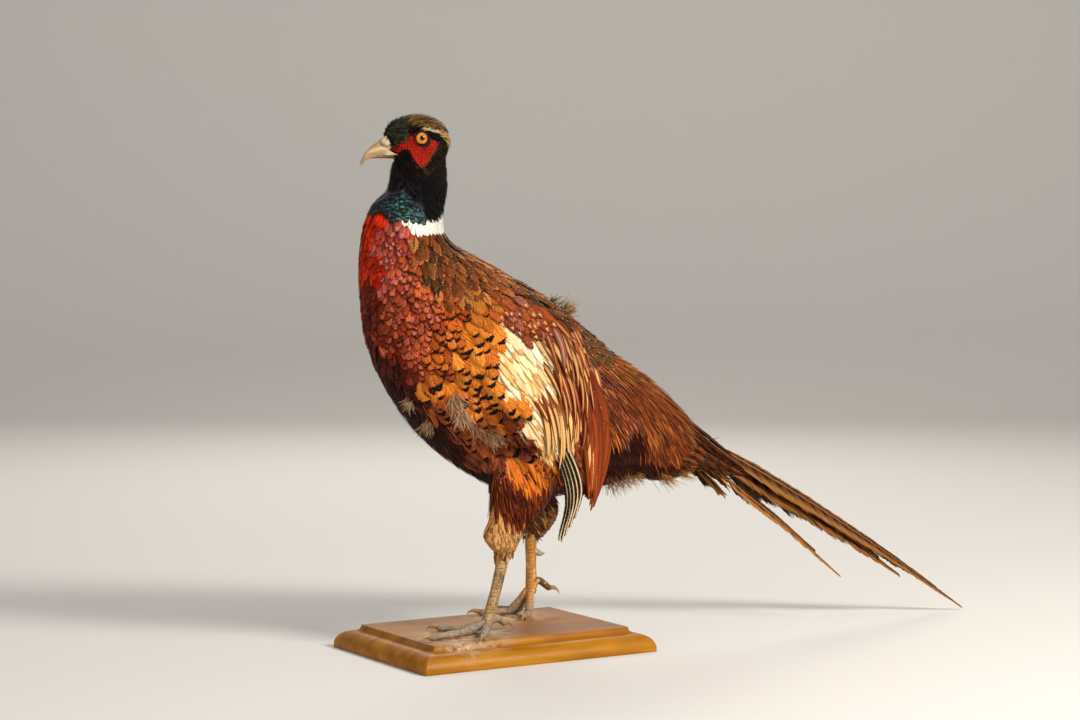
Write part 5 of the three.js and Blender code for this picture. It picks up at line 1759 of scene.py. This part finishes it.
def make_bill():
    """Both halves of the bill. The upper one has the flaps over the nostrils and the mouth's corners."""
    look = bill_look()
    grid = bill_grid(UPPER_BILL, 72, 150, True)
    x, z = grid[..., 0].copy(), grid[..., 2].copy()
    side = np.abs(grid[..., 1])
    off_ridge = smooth(side, 0.8, 2.6)
    flap = swelling(x, z, *FLAP)
    lobe = swelling(x, z, *LOBE) * off_ridge
    # The slit curves round under the flap.
    around = np.hypot((x - FLAP[0]) / FLAP[2], (z - FLAP[1]) / FLAP[3])
    slit = 0.8 * np.exp(-((around - 1.12) / 0.11) ** 2) * smooth(-z, 2.5, 5.5) * off_ridge
    # The rim runs on behind as the corner of the mouth, a wedge that lies on the cheek.
    rim_z = np.interp(x, [-49, -41.5, -34.5, -27, -12], [-23.5, -17.2, -15.4, -14.7, -13.4])
    wedge = np.interp(x, [-31, -26.8, -22, -17.4], [7.0, 5.2, 2.0, 0.0])
    in_wedge = smooth(rim_z + wedge - z, -0.5, 0.5) * smooth(x, -32, -27)
    wide = np.interp(x, [-31, -26.8, -22, -17.6, -12], [5.2, 7.0, 9.0, 11.3, 10.4])
    out = side + (1.5 * flap * (0.35 + 0.65 * off_ridge) * smooth(side, 0, 1.2) + 0.7 * lobe - 1.0 * slit)
    out = out * (1 - in_wedge) + np.maximum(out, wide * np.minimum(1, side / 3.5)) * in_wedge
    edge = np.exp(-(((z - rim_z) - 0.7) / 0.8) ** 2) * smooth(-x, 20, 30)
    grid[..., 1] = np.sign(grid[..., 1]) * (out + 0.25 * edge * smooth(side, 1, 2))
    grid[..., 2] += 0.9 * flap * smooth(z, -6, 0)
    ridges = 0.06 * np.sin(2.1 * (z + 0.35 * x)) * smooth(-x, 27, 33)
    grid[..., 1] += np.sign(grid[..., 1]) * ridges
    # Painted shade: the nostril's slit and the hollow behind the flap are darkened.
    shade = 0.7 * smooth(x, -27, -23) * smooth(z, -12, -8) * (1 - flap) * (1 - lobe) * (1 - in_wedge)
    dark = np.clip(0.9 * slit + shade, 0, 1)
    # Painted shade below and in front of the flap.
    brown = 0.55 * np.exp(-((x - FLAP[0] + 2.4) / 1.6) ** 2 - ((z - FLAP[1] + 2.6) / 1.8) ** 2)
    pale = np.clip(flap + lobe + 0.8 * in_wedge, 0, 1)
    colours = np.array(srgb(*HORN)) * np.ones(grid.shape)
    colours = colours * (1 - 0.22 * smooth(z, -12, -3) * (1 - flap))[..., None]
    colours = colours * (1 - 0.3 * smooth(-x, 44, 49))[..., None]  # darker at the tip
    # Painted shade: a darker band along the lower side of the bill.
    low = 0.4 * np.exp(-(((z - rim_z) - 3.2) / 1.8) ** 2) * smooth(-x, 20, 28)
    # A painted highlight: a pale band along the middle of the bill's side.
    painted_highlight = 0.6 * np.exp(-(((z - rim_z) - 6.6) / 1.3) ** 2) * smooth(-x, 24, 31) * smooth(x, -45, -39)
    for tone, amount in (((112, 84, 52), low), ((246, 230, 196), painted_highlight), (PALE_HORN, 0.75 * pale),
                         ((150, 104, 74), brown), (BILL_SHADE, dark)):
        colours = washed(colours, tone, amount)
    ring_part("bill_upper_horn", from_head(grid), colours, "bill_horn", look, ["bill_upper"])

    grid = bill_grid(LOWER_BILL, 40, 60, False)
    # The lower half is darker horn, and darker still towards its root: painted shade under the upper half.
    colours = np.array(srgb(132, 100, 62)) * np.ones(grid.shape)
    colours = colours * (1 - 0.35 * smooth(grid[..., 0], -30, -14)[..., None])
    ring_part("bill_lower_horn", from_head(grid), colours, "bill_horn", look, ["bill_lower"])


def ring_part(name, grid, colours, slot, look, replaces):
    """Shows a part built of rings, with its colours and a map round and along it."""
    mesh = grid_mesh(name, grid)
    add_colour(mesh, "base", colours.reshape(-1, 3))
    rows, columns = grid.shape[:2]
    u = np.arange(columns) / columns * np.ones((rows, 1))
    v = np.linspace(0, 1, rows)[:, None] * np.ones((1, columns))
    add_uv(mesh, np.stack([u, v], -1).reshape(-1, 2))
    place(name, mesh, slot, look, replaces)
    return mesh


def bill_look():
    """Streaked horn with a few pale blotches."""
    look = Look("horn", Roughness=0.36, Specular_IOR_Level=0.5, Coat_Weight=0.25, Coat_Roughness=0.25)
    base = look.attribute("base")["Color"]
    where = look.place()
    streaks = look.noise(look.stretch(where, (120, 120, 520), (0, 0.6, 0.26)), 1.0, 4.0, 0.6)
    blotch = look.noise(where, 160.0, 3.0)
    colour = look.mix(streaks.step(0.35, 0.75), look.mix(0.36, base, srgb(120, 86, 48)), base)
    look.colour(look.mix(blotch.step(0.55, 0.75) * 0.35, colour, srgb(240, 220, 176)))
    look.bump(streaks, 0.25, 0.0004)
    return look.material


def make_eyes():
    """Two glass balls with a slightly raised front."""
    look = eye_look()
    turn = np.arange(64) * 2 * np.pi / 64
    rings = np.linspace(0.004, math.pi - 0.004, 44)
    radius = EYE_RADIUS * np.sin(rings)[:, None] * np.ones((1, 64))
    out = EYE_RADIUS * np.cos(rings)[:, None] * np.ones((1, 64))
    cornea = 0.55 * np.exp(-((radius / 3.6) ** 4)) * (out > 0)
    disc = np.stack([radius * np.cos(turn), radius * np.sin(turn), out], -1)
    for side, name in SIDES:
        grid = np.stack([disc[..., 0], side * (EYE_OFFSET + out + cornea), -side * disc[..., 1]], -1)
        mesh = grid_mesh(f"eye_{name}_glass", from_head(grid))
        add_vector(mesh, "disc", disc.reshape(-1, 3))
        place(f"eye_{name}_glass", mesh, "eye_glass", look, [f"eye_{name}"])
        add_uv(mesh, 0.5 + 0.5 * grid[..., (0, 2)].reshape(-1, 2) / 8)


def eye_look():
    """A glass eye: a black pupil and an amber iris, with painted shade making it redder behind, and dark at
    its rim.
    """
    look = Look("eye_glass", Roughness=0.25, Specular_IOR_Level=0.2, Coat_Weight=1.0, Coat_Roughness=0.03,
                Coat_IOR=1.4)
    back, up, _ = look.split(look.attribute("disc")["Vector"])
    radius = look.math("SQRT", back * back + up * up)
    angle = look.math("ARCTAN2", back, up)
    fibres = look.noise(look.vector(angle * 9.0, radius * 0.5), 1.0, 4.0, 0.7)
    iris = look.mix(fibres.step(0.3, 0.7), srgb(200, 106, 6), srgb(236, 152, 20))
    # Behind, the iris turns a deep orange-red: painted shade under the thick lid there.
    rear = (back + up * 0.3).step(0.6, 3.6)
    iris = look.mix(rear * 0.7, iris, srgb(196, 74, 6))
    iris = look.mix(0.75 - radius.step(2.0, 3.0), iris, srgb(142, 52, 4))
    colour = look.mix(radius.step(4.3, 4.9), iris, srgb(30, 10, 5))
    look.colour(look.mix(radius.step(1.95, 2.2), srgb(5, 4, 4), colour))
    return look.material


# ------------------------------------------------------------------ legs
SHANKS = {  # the middle of each shank from inside the boot to the foot's hub, in mm
    "left": [(-9, -39.5, 104), (-13.5, -37, 82), (-19, -34, 55), (-25, -30.7, 30)],
    "right": [(58, 34, 108), (57.5, 34, 86), (57.5, 33.7, 66), (57.6, 33.5, 45)],
}
SHANK_RADII = (5.8, 5.0, 4.4, 5.0)
HUBS = {"left": (-25, -30.5, 28.5), "right": (57.5, 33.5, 43)}
TOE_TIPS = {
    "left": {"inner": (-56, 1), "middle": (-86, -40.5), "outer": (-48, -62)},
    "right": {"inner": (39, 14), "middle": (17, 58), "outer": (43, 68)},
}
HALLUXES = {
    "left": [(-25, -30.5, 30), (-14, -28, 32), (-4, -25, 26)],
    "right": [(57.5, 33.5, 45), (65, 34, 51), (77.5, 34, 42.5)],
}
SPURS = {
    "left": [(-17.5, -32.5, 62), (-11, -26, 60), (-7.6, -21.6, 57.8)],
    "right": [(59.5, 32.2, 78), (65, 30.5, 75.5), (69.4, 29.4, 75.6)],
}
TOE_RADII = (4.2, 3.4, 3.3, 2.8, 2.7, 2.2)
LIMB_RELIEF = 0.26
CLAW_LENGTH = 10.0
CLAW_RADIUS = 1.9
CLAW_ROOT = 2.2  # how deep a claw is set in its toe
CLAW_LOW = FLOOR_Z + 0.4
LEG_TONES = {"left": ((186, 148, 96), (118, 92, 60)), "right": ((198, 136, 60), (138, 92, 40))}


def tube_grid(path, radii, sides, up=(0, 0, 1)):
    """Rings round a path, with the direction each point is pushed out along. Column 0 faces up."""
    ahead = unit(np.gradient(path, axis=0))
    up = np.asarray(up, float) * np.ones((len(path), 1))
    side = unit(np.cross(ahead, up))
    top = np.cross(side, ahead)
    turn = np.arange(sides) * 2 * np.pi / sides
    out = np.cos(turn)[None, :, None] * top[:, None] + np.sin(turn)[None, :, None] * side[:, None]
    return path[:, None] + out * np.asarray(radii)[:, None, None], out, turn


def shingle(along, pitch):
    """Height of overlapping plates along a line: each rises to its lower rim, then drops."""
    place = np.mod(along / pitch, 1.0)
    return smooth(place, 0.0, 0.22) * (0.55 + 0.45 * place)


def scaled_limb(name, path, radii, sides, front, tones, replaces, look, pitch=3.6, plates=2):
    """A shank or toe with one or two columns of plates in front and pebbled skin behind, in relief and
    in colour. pitch is the length of a plate."""
    grid, out, turn = tube_grid(path, radii, sides, front)
    steps = np.linalg.norm(np.diff(path, axis=0), axis=1)
    along = np.concatenate([[0], np.cumsum(steps)])[:, None] * np.ones((1, sides))
    turn = ((turn[None] + np.pi) % (2 * np.pi) - np.pi) * np.ones_like(along)
    if plates == 2:
        shift = np.where(turn > 0, 0.5, 0.0) * pitch
        uneven = 0.5 * np.sin(along * 0.9 + 2.0 * np.sign(turn)) + 0.3 * np.sin(along * 2.3)
        plate = shingle(along + shift + uneven + 1.0 * np.abs(turn), pitch)
        plate *= smooth(np.abs(turn), 0.0, 0.16)
    else:
        plate = shingle(along - 0.8 * np.abs(turn), pitch)
    in_front = 1 - smooth(np.abs(turn), 1.35, 1.75)
    skin = pebbles(turn * np.asarray(radii)[:, None], along, 1.2, 0.15)
    level = in_front * plate + (1 - in_front) * skin
    grid = grid + out * (LIMB_RELIEF * level)[..., None]
    pale, dark = (np.array(srgb(*c)) for c in tones)
    colours = dark + (pale - dark) * smooth(level, 0.15, 0.8)[..., None]
    mesh = ring_part(name, grid, colours, "leg_skin", look, replaces)
    dust = smooth(-grid[..., 2].reshape(-1, 1), -44, -26)  # on the toes and low on the shanks
    add_colour(mesh, "dust", np.repeat(dust, 3, 1))


def toe_path(hub, tip):
    """A toe from the foot's hub to its tip on the floor: the path and the radii along it."""
    t = np.linspace(0, 1, 90)
    drop = smooth(t, 0, 0.45)
    radii = np.interp(t, np.linspace(0, 1, len(TOE_RADII)), TOE_RADII)
    hub = np.array(hub, float)
    flat = hub[:2] + (np.array(tip, float) - hub[:2]) * t[:, None]
    z = hub[2] + (FLOOR_Z + radii * 0.96 - hub[2]) * drop
    knuckles = 1 + 0.12 * np.cos(2 * np.pi * t * 3.2)
    return np.column_stack([flat, z]), radii * knuckles


def make_legs():
    """Both shanks with their spurs, and the toes with their claws."""
    look = leg_look()
    claw = claw_look()
    for _, side in SIDES:
        tones = LEG_TONES[side]
        t = np.linspace(0, 1, 190)
        shank = through(SHANKS[side], t)
        radii = np.interp(t, np.linspace(0, 1, len(SHANK_RADII)), SHANK_RADII)
        scaled_limb(f"shank_{side}_scales", shank, radii, 44, (-1, 0, 0), tones, [f"shank_{side}"], look)
        for toe, tip in TOE_TIPS[side].items():
            path, radii = toe_path(HUBS[side], tip)
            replaced = [f"foot_{side}"] if toe == "inner" else []
            scaled_limb(f"toe_{side}_{toe}", path, ease_end(radii), 30, (0, 0, 1), tones, replaced, look,
                        3.1, 1)
            make_claw(f"claw_{side}_{toe}", path, CLAW_LOW, claw)
        path = through(HALLUXES[side], np.linspace(0, 1, 60))
        radii = np.linspace(3.8, 2.5, 60)
        scaled_limb(f"toe_{side}_hallux", path, ease_end(radii), 26, (0, 0, 1), tones, [], look, 2.8, 1)
        low = CLAW_LOW if side == "left" else path[-1][2] - 5.5  # the right foot is raised
        make_claw(f"claw_{side}_hallux", path, low, claw)
        spur = through(SPURS[side], np.linspace(0, 1, 40))
        grid, _, _ = tube_grid(spur, 3.3 * (1 - np.linspace(0, 1, 40) ** 1.6 * 0.93), 24)
        colours = np.array(srgb(176, 158, 132)) * np.ones(grid.shape)
        ring_part(f"spur_{side}_horn", grid, colours, "claw_horn", claw, [f"spur_{side}"])


def ease_end(radii):
    """Rounds off a toe's end, where the claw grows out."""
    radii = np.array(radii, float)
    last = len(radii) // 12
    share = np.linspace(0, 1, last)
    radii[-last:] *= np.sqrt(1 - 0.75 * share**2)
    return radii


def make_claw(name, toe, low, look):
    """A curved claw from a toe's end down towards the given height."""
    flat = unit((toe[-1] - toe[-8]) * (1, 1, 0))
    t = np.linspace(0, 1, 40)
    begin = toe[-1] - flat * CLAW_ROOT + np.array([0, 0, 0.5])
    out = begin + flat * ((CLAW_LENGTH + CLAW_ROOT) * np.sin(t * 1.25)[:, None] / math.sin(1.25))
    out[:, 2] += (low - begin[2]) * t**1.7 + 1.6 * np.sin(np.pi * t)
    radii = CLAW_RADIUS * (1 - 0.9 * t**1.5)
    grid, _, _ = tube_grid(out, radii, 22)
    centre = out[:, None]
    grid = centre + (grid - centre) * np.array([1, 1, 1.25])
    shade = np.linspace(0.72, 1.1, 40)[:, None, None]
    colours = np.array(srgb(186, 146, 92)) * shade * np.ones(grid.shape)
    ring_part(name + "_horn", grid, colours, "claw_horn", look, [name])


def leg_look():
    """Yellow-tan scales, blotched grey, with painted pale glints, and dusty towards the toes."""
    look = Look("leg_scales", Roughness=0.45, Specular_IOR_Level=0.3)
    dust = Value(look, look.attribute("dust")["Fac"])
    where = look.place()
    patches = look.noise(look.stretch(where, (80, 80, 48)), 1.0, 5.0, 0.7)
    fine = look.noise(where, 900.0, 3.0)
    # Painted glints: pale patches scattered over the scales.
    light = look.noise(look.stretch(where, (260, 260, 130)), 1.0, 3.0)
    colour = look.mix(patches.step(0.49, 0.60) * 0.85, look.attribute("base")["Color"], srgb(70, 58, 48))
    colour = look.mix(light.step(0.56, 0.7) * 0.5, colour, srgb(240, 214, 164))
    powder = look.mix(fine.step(0.3, 0.7), srgb(104, 92, 80), srgb(172, 158, 142))
    amount = dust * look.noise(where, 150.0, 3.0).step(0.2, 0.55)
    look.colour(look.mix(amount * 0.85, colour, powder))
    look.roughness(dust.times(0.35, 0.4))
    look.bump(fine, 0.3, 0.0004)
    return look.material


def claw_look():
    """Horn with fine streaks along each claw and spur."""
    look = Look("claw_horn", Roughness=0.35, Specular_IOR_Level=0.5)
    base = look.attribute("base")["Color"]
    streaks = look.noise(look.stretch(look.place(), (500, 500, 1200)), 1.0, 3.0)
    look.colour(look.mix(streaks.step(0.3, 0.7), look.mix(0.5, base, srgb(104, 78, 50)), base))
    look.bump(streaks, 0.2, 0.0003)
    return look.material


# ------------------------------------------------------------------ the base
BASE_LENGTH, BASE_WIDTH, BASE_HEIGHT = 228.0, 168.0, 20.5
BASE_LIP = 2.5
OVOLO_WIDTH, OVOLO_TOP = 13.0, 15.0
TOP_INSET = 18.0
CORNER_RADIUS = 1.4


def base_profile():
    """The moulding's outline as (inset, height), from the underside's rim to the top's."""
    profile = [(0.5, 0.0), (0.1, 0.15), (0.0, 0.5), (0.0, BASE_LIP - 0.3), (0.08, BASE_LIP)]
    for k in range(1, 15):
        turn = math.pi / 2 * k / 14
        profile.append((OVOLO_WIDTH * (1 - math.cos(turn)),
                        BASE_LIP + (OVOLO_TOP - BASE_LIP) * math.sin(turn)))
    profile.append((OVOLO_WIDTH + 0.2, OVOLO_TOP + 0.05))
    cove = TOP_INSET - OVOLO_WIDTH
    for k in range(1, 10):
        turn = math.pi / 2 * k / 9
        profile.append((OVOLO_WIDTH + cove * math.sin(turn),
                        OVOLO_TOP + (BASE_HEIGHT - OVOLO_TOP) * (1 - math.cos(turn))))
    profile += [(TOP_INSET + 0.15, BASE_HEIGHT), (TOP_INSET + 0.9, BASE_HEIGHT)]
    return profile


def make_base():
    """The moulding, one ring with rounded corners for each place in its profile."""
    rows = []
    for inset, z in base_profile():
        far_x = BASE_LENGTH / 2 - inset - CORNER_RADIUS
        far_y = BASE_WIDTH / 2 - inset - CORNER_RADIUS
        ring = []
        for corner, (sx, sy) in enumerate(((1, 1), (-1, 1), (-1, -1), (1, -1))):
            for k in range(6):
                turn = math.pi / 2 * (corner + k / 5)
                ring.append((sx * far_x + CORNER_RADIUS * math.cos(turn),
                             sy * far_y + CORNER_RADIUS * math.sin(turn), z))
        rows.append(ring)
    grid = np.array(rows)
    mesh = grid_mesh("base_moulding", grid)
    add_uv(mesh, 0.5 + grid.reshape(-1, 3)[:, :2] / 260)
    place("base_moulding", mesh, "base_wood", wood_look(), ["base"])


DUST_SPOTS = [  # places in metres and how far the dust reaches round each: by the toes and a corner
    ((-0.052, -0.034, 0.0205), 0.055), ((-0.025, -0.031, 0.0205), 0.030),
    ((0.040, 0.042, 0.0205), 0.050), ((-0.07, -0.06, 0.012), 0.028),
]


def wood_look():
    """Honey-coloured wood with its grain along the base, browner on top, dusty round the toes."""
    look = Look("base_wood", Roughness=0.5, Specular_IOR_Level=0.12, Coat_Weight=0.03, Coat_Roughness=0.4)
    where = look.place()
    warp = look.noise(look.stretch(where, (5, 22, 22)), 1.0, 3.0)
    parts = {0: look.stretch(where, (4, 60, 60)), 1: look.vector(y=warp * 3.5)}
    rings = look.noise(look.add("VectorMath", parts, operation="ADD").outputs[0], 1.0, 2.0)
    pores = look.noise(look.stretch(where, (45, 1500, 1500)), 1.0, 3.0, 0.65)
    colour = look.mix(rings.step(0.32, 0.7), srgb(142, 84, 12), srgb(176, 118, 22))
    colour = look.mix(pores.step(0.52, 0.72) * 0.5, colour, srgb(120, 66, 20))
    on_top = look.split(where)[2].step(0.0200, 0.0204)
    colour = look.mix(on_top * 0.42, colour, srgb(134, 86, 28))
    stain = look.noise(look.stretch(where, (14, 14, 14)), 1.0, 4.0).step(0.5, 0.72)
    colour = look.mix(stain * 0.35, colour, srgb(116, 62, 18))
    dust = 0.0
    for spot, reach in DUST_SPOTS:
        gap = look.add("VectorMath", {0: where, 1: spot}, operation="DISTANCE").outputs["Value"]
        dust = look.math("MAXIMUM", dust, 1.0 - Value(look, gap).step(reach * 0.25, reach))
    powder = look.noise(where, 130.0, 5.0, 0.65).step(0.38, 0.6)
    dust = dust * powder * 0.8
    look.colour(look.mix(dust, colour, srgb(204, 186, 156)))
    look.roughness(dust.times(0.5, pores.times(0.2, 0.28)))
    look.bump(pores + rings * 0.5, 0.25, 0.0004)
    return look.material




# ------------------------------------------------------------------ putting it together
COAT_SLOTS = {
    "head": "plumage_head", "neck": "plumage_neck", "teal": "plumage_neck", "ring": "plumage_neck",
    "wing": "plumage_wing", "rump": "plumage_rump", "thigh": "plumage_thigh",
}
# Painted shade: the skin seen between feathers takes their colour, darkened.
SHADE_BETWEEN_FEATHERS = 0.6  # the skin's colour between feathers, as a share of theirs


def unwrap(mesh):
    """Gives the skin its OFBake map."""
    unwrapped = show("skin_unwrap", mesh)
    bpy.context.view_layer.objects.active = unwrapped
    unwrapped.select_set(True)
    mesh.uv_layers.new(name="OFBake")
    bpy.ops.object.mode_set(mode="EDIT")
    bpy.ops.mesh.select_all(action="SELECT")
    bpy.ops.uv.smart_project(angle_limit=math.radians(66), island_margin=0.002)
    bpy.ops.object.mode_set(mode="OBJECT")
    bpy.data.objects.remove(unwrapped)


def skin_look():
    """Plain skin under the feathers, the red granular face with painted shade between its grains and painted
    highlights, and the dark lids.
    """
    look = Look("skin", Roughness=0.7, Specular_IOR_Level=0.1)
    bare, raised, on_lid = look.split(look.attribute("face")["Color"], "Color")
    where = look.place()
    grain = look.noise(where, 1500.0, 3.0)
    patch = look.noise(where, 260.0, 2.0)
    # Painted shade: the face is deep red where the grains sink and in darker specks, and red on the grains'
    # tops.
    red = look.mix(raised.step(0.10, 0.75), srgb(74, 3, 1), srgb(188, 32, 9))
    red = look.mix(grain.step(0.45, 0.75) * 0.6, red, srgb(124, 10, 4))
    # Painted highlights: lighter red patches over the face.
    red = look.mix(patch.step(0.55, 0.75) * 0.3, red, srgb(206, 66, 34))
    lid = look.mix(grain.step(0.3, 0.7), srgb(18, 13, 13), srgb(46, 36, 36))
    colour = look.mix(bare, look.attribute("base")["Color"], red)
    look.colour(look.mix(on_lid, colour, lid))
    look.bump(grain, 0.4, 0.0004)
    return look.material


def show_skin():
    """Shows the skin as a piece, and returns it with what the feathers need to know about it."""
    mesh = make_skin()
    unwrap(mesh)
    shade_smooth(mesh)
    points = read_points(mesh)
    shades = np.array([srgb(*plume.base[0]) for plume in PLUMES.values()])
    # The skin's colour is the feathers' colour darkened, as painted shade in the gaps between them.
    add_colour(mesh, "base", shades[kinds_at(points)] * SHADE_BETWEEN_FEATHERS)
    bare = smooth(wattle_distance(points), -0.4, 0.8)
    add_colour(mesh, "face", np.stack([bare, papillae(to_head(points)), lid_share(points)], 1))
    place("skin", mesh, "plumage_body", skin_look(), FLESH)
    return Skin(mesh)


def dress():
    """Shows every piece of the bird and its base."""
    skin = show_skin()
    plain = feather_look("plumes", Roughness=0.55, Specular_IOR_Level=0.12)
    glossy = feather_look("glossy_plumes", Roughness=0.42, Specular_IOR_Level=0.3, Metallic=0.12)
    for (name, side), batches in sorted(grow_coat(skin).items()):
        look = glossy if name == "teal" else plain
        joined(f"coat_{name}_{side}", batches, COAT_SLOTS.get(name, "plumage_body"), look)
    make_bill()
    make_eyes()
    make_legs()
    make_base()
    make_tail(skin)
    for side, name in SIDES:
        make_primaries(skin, side, name, plain)
        make_long_feathers(skin, side, name, plain)
    make_down(skin, plain)


dress()
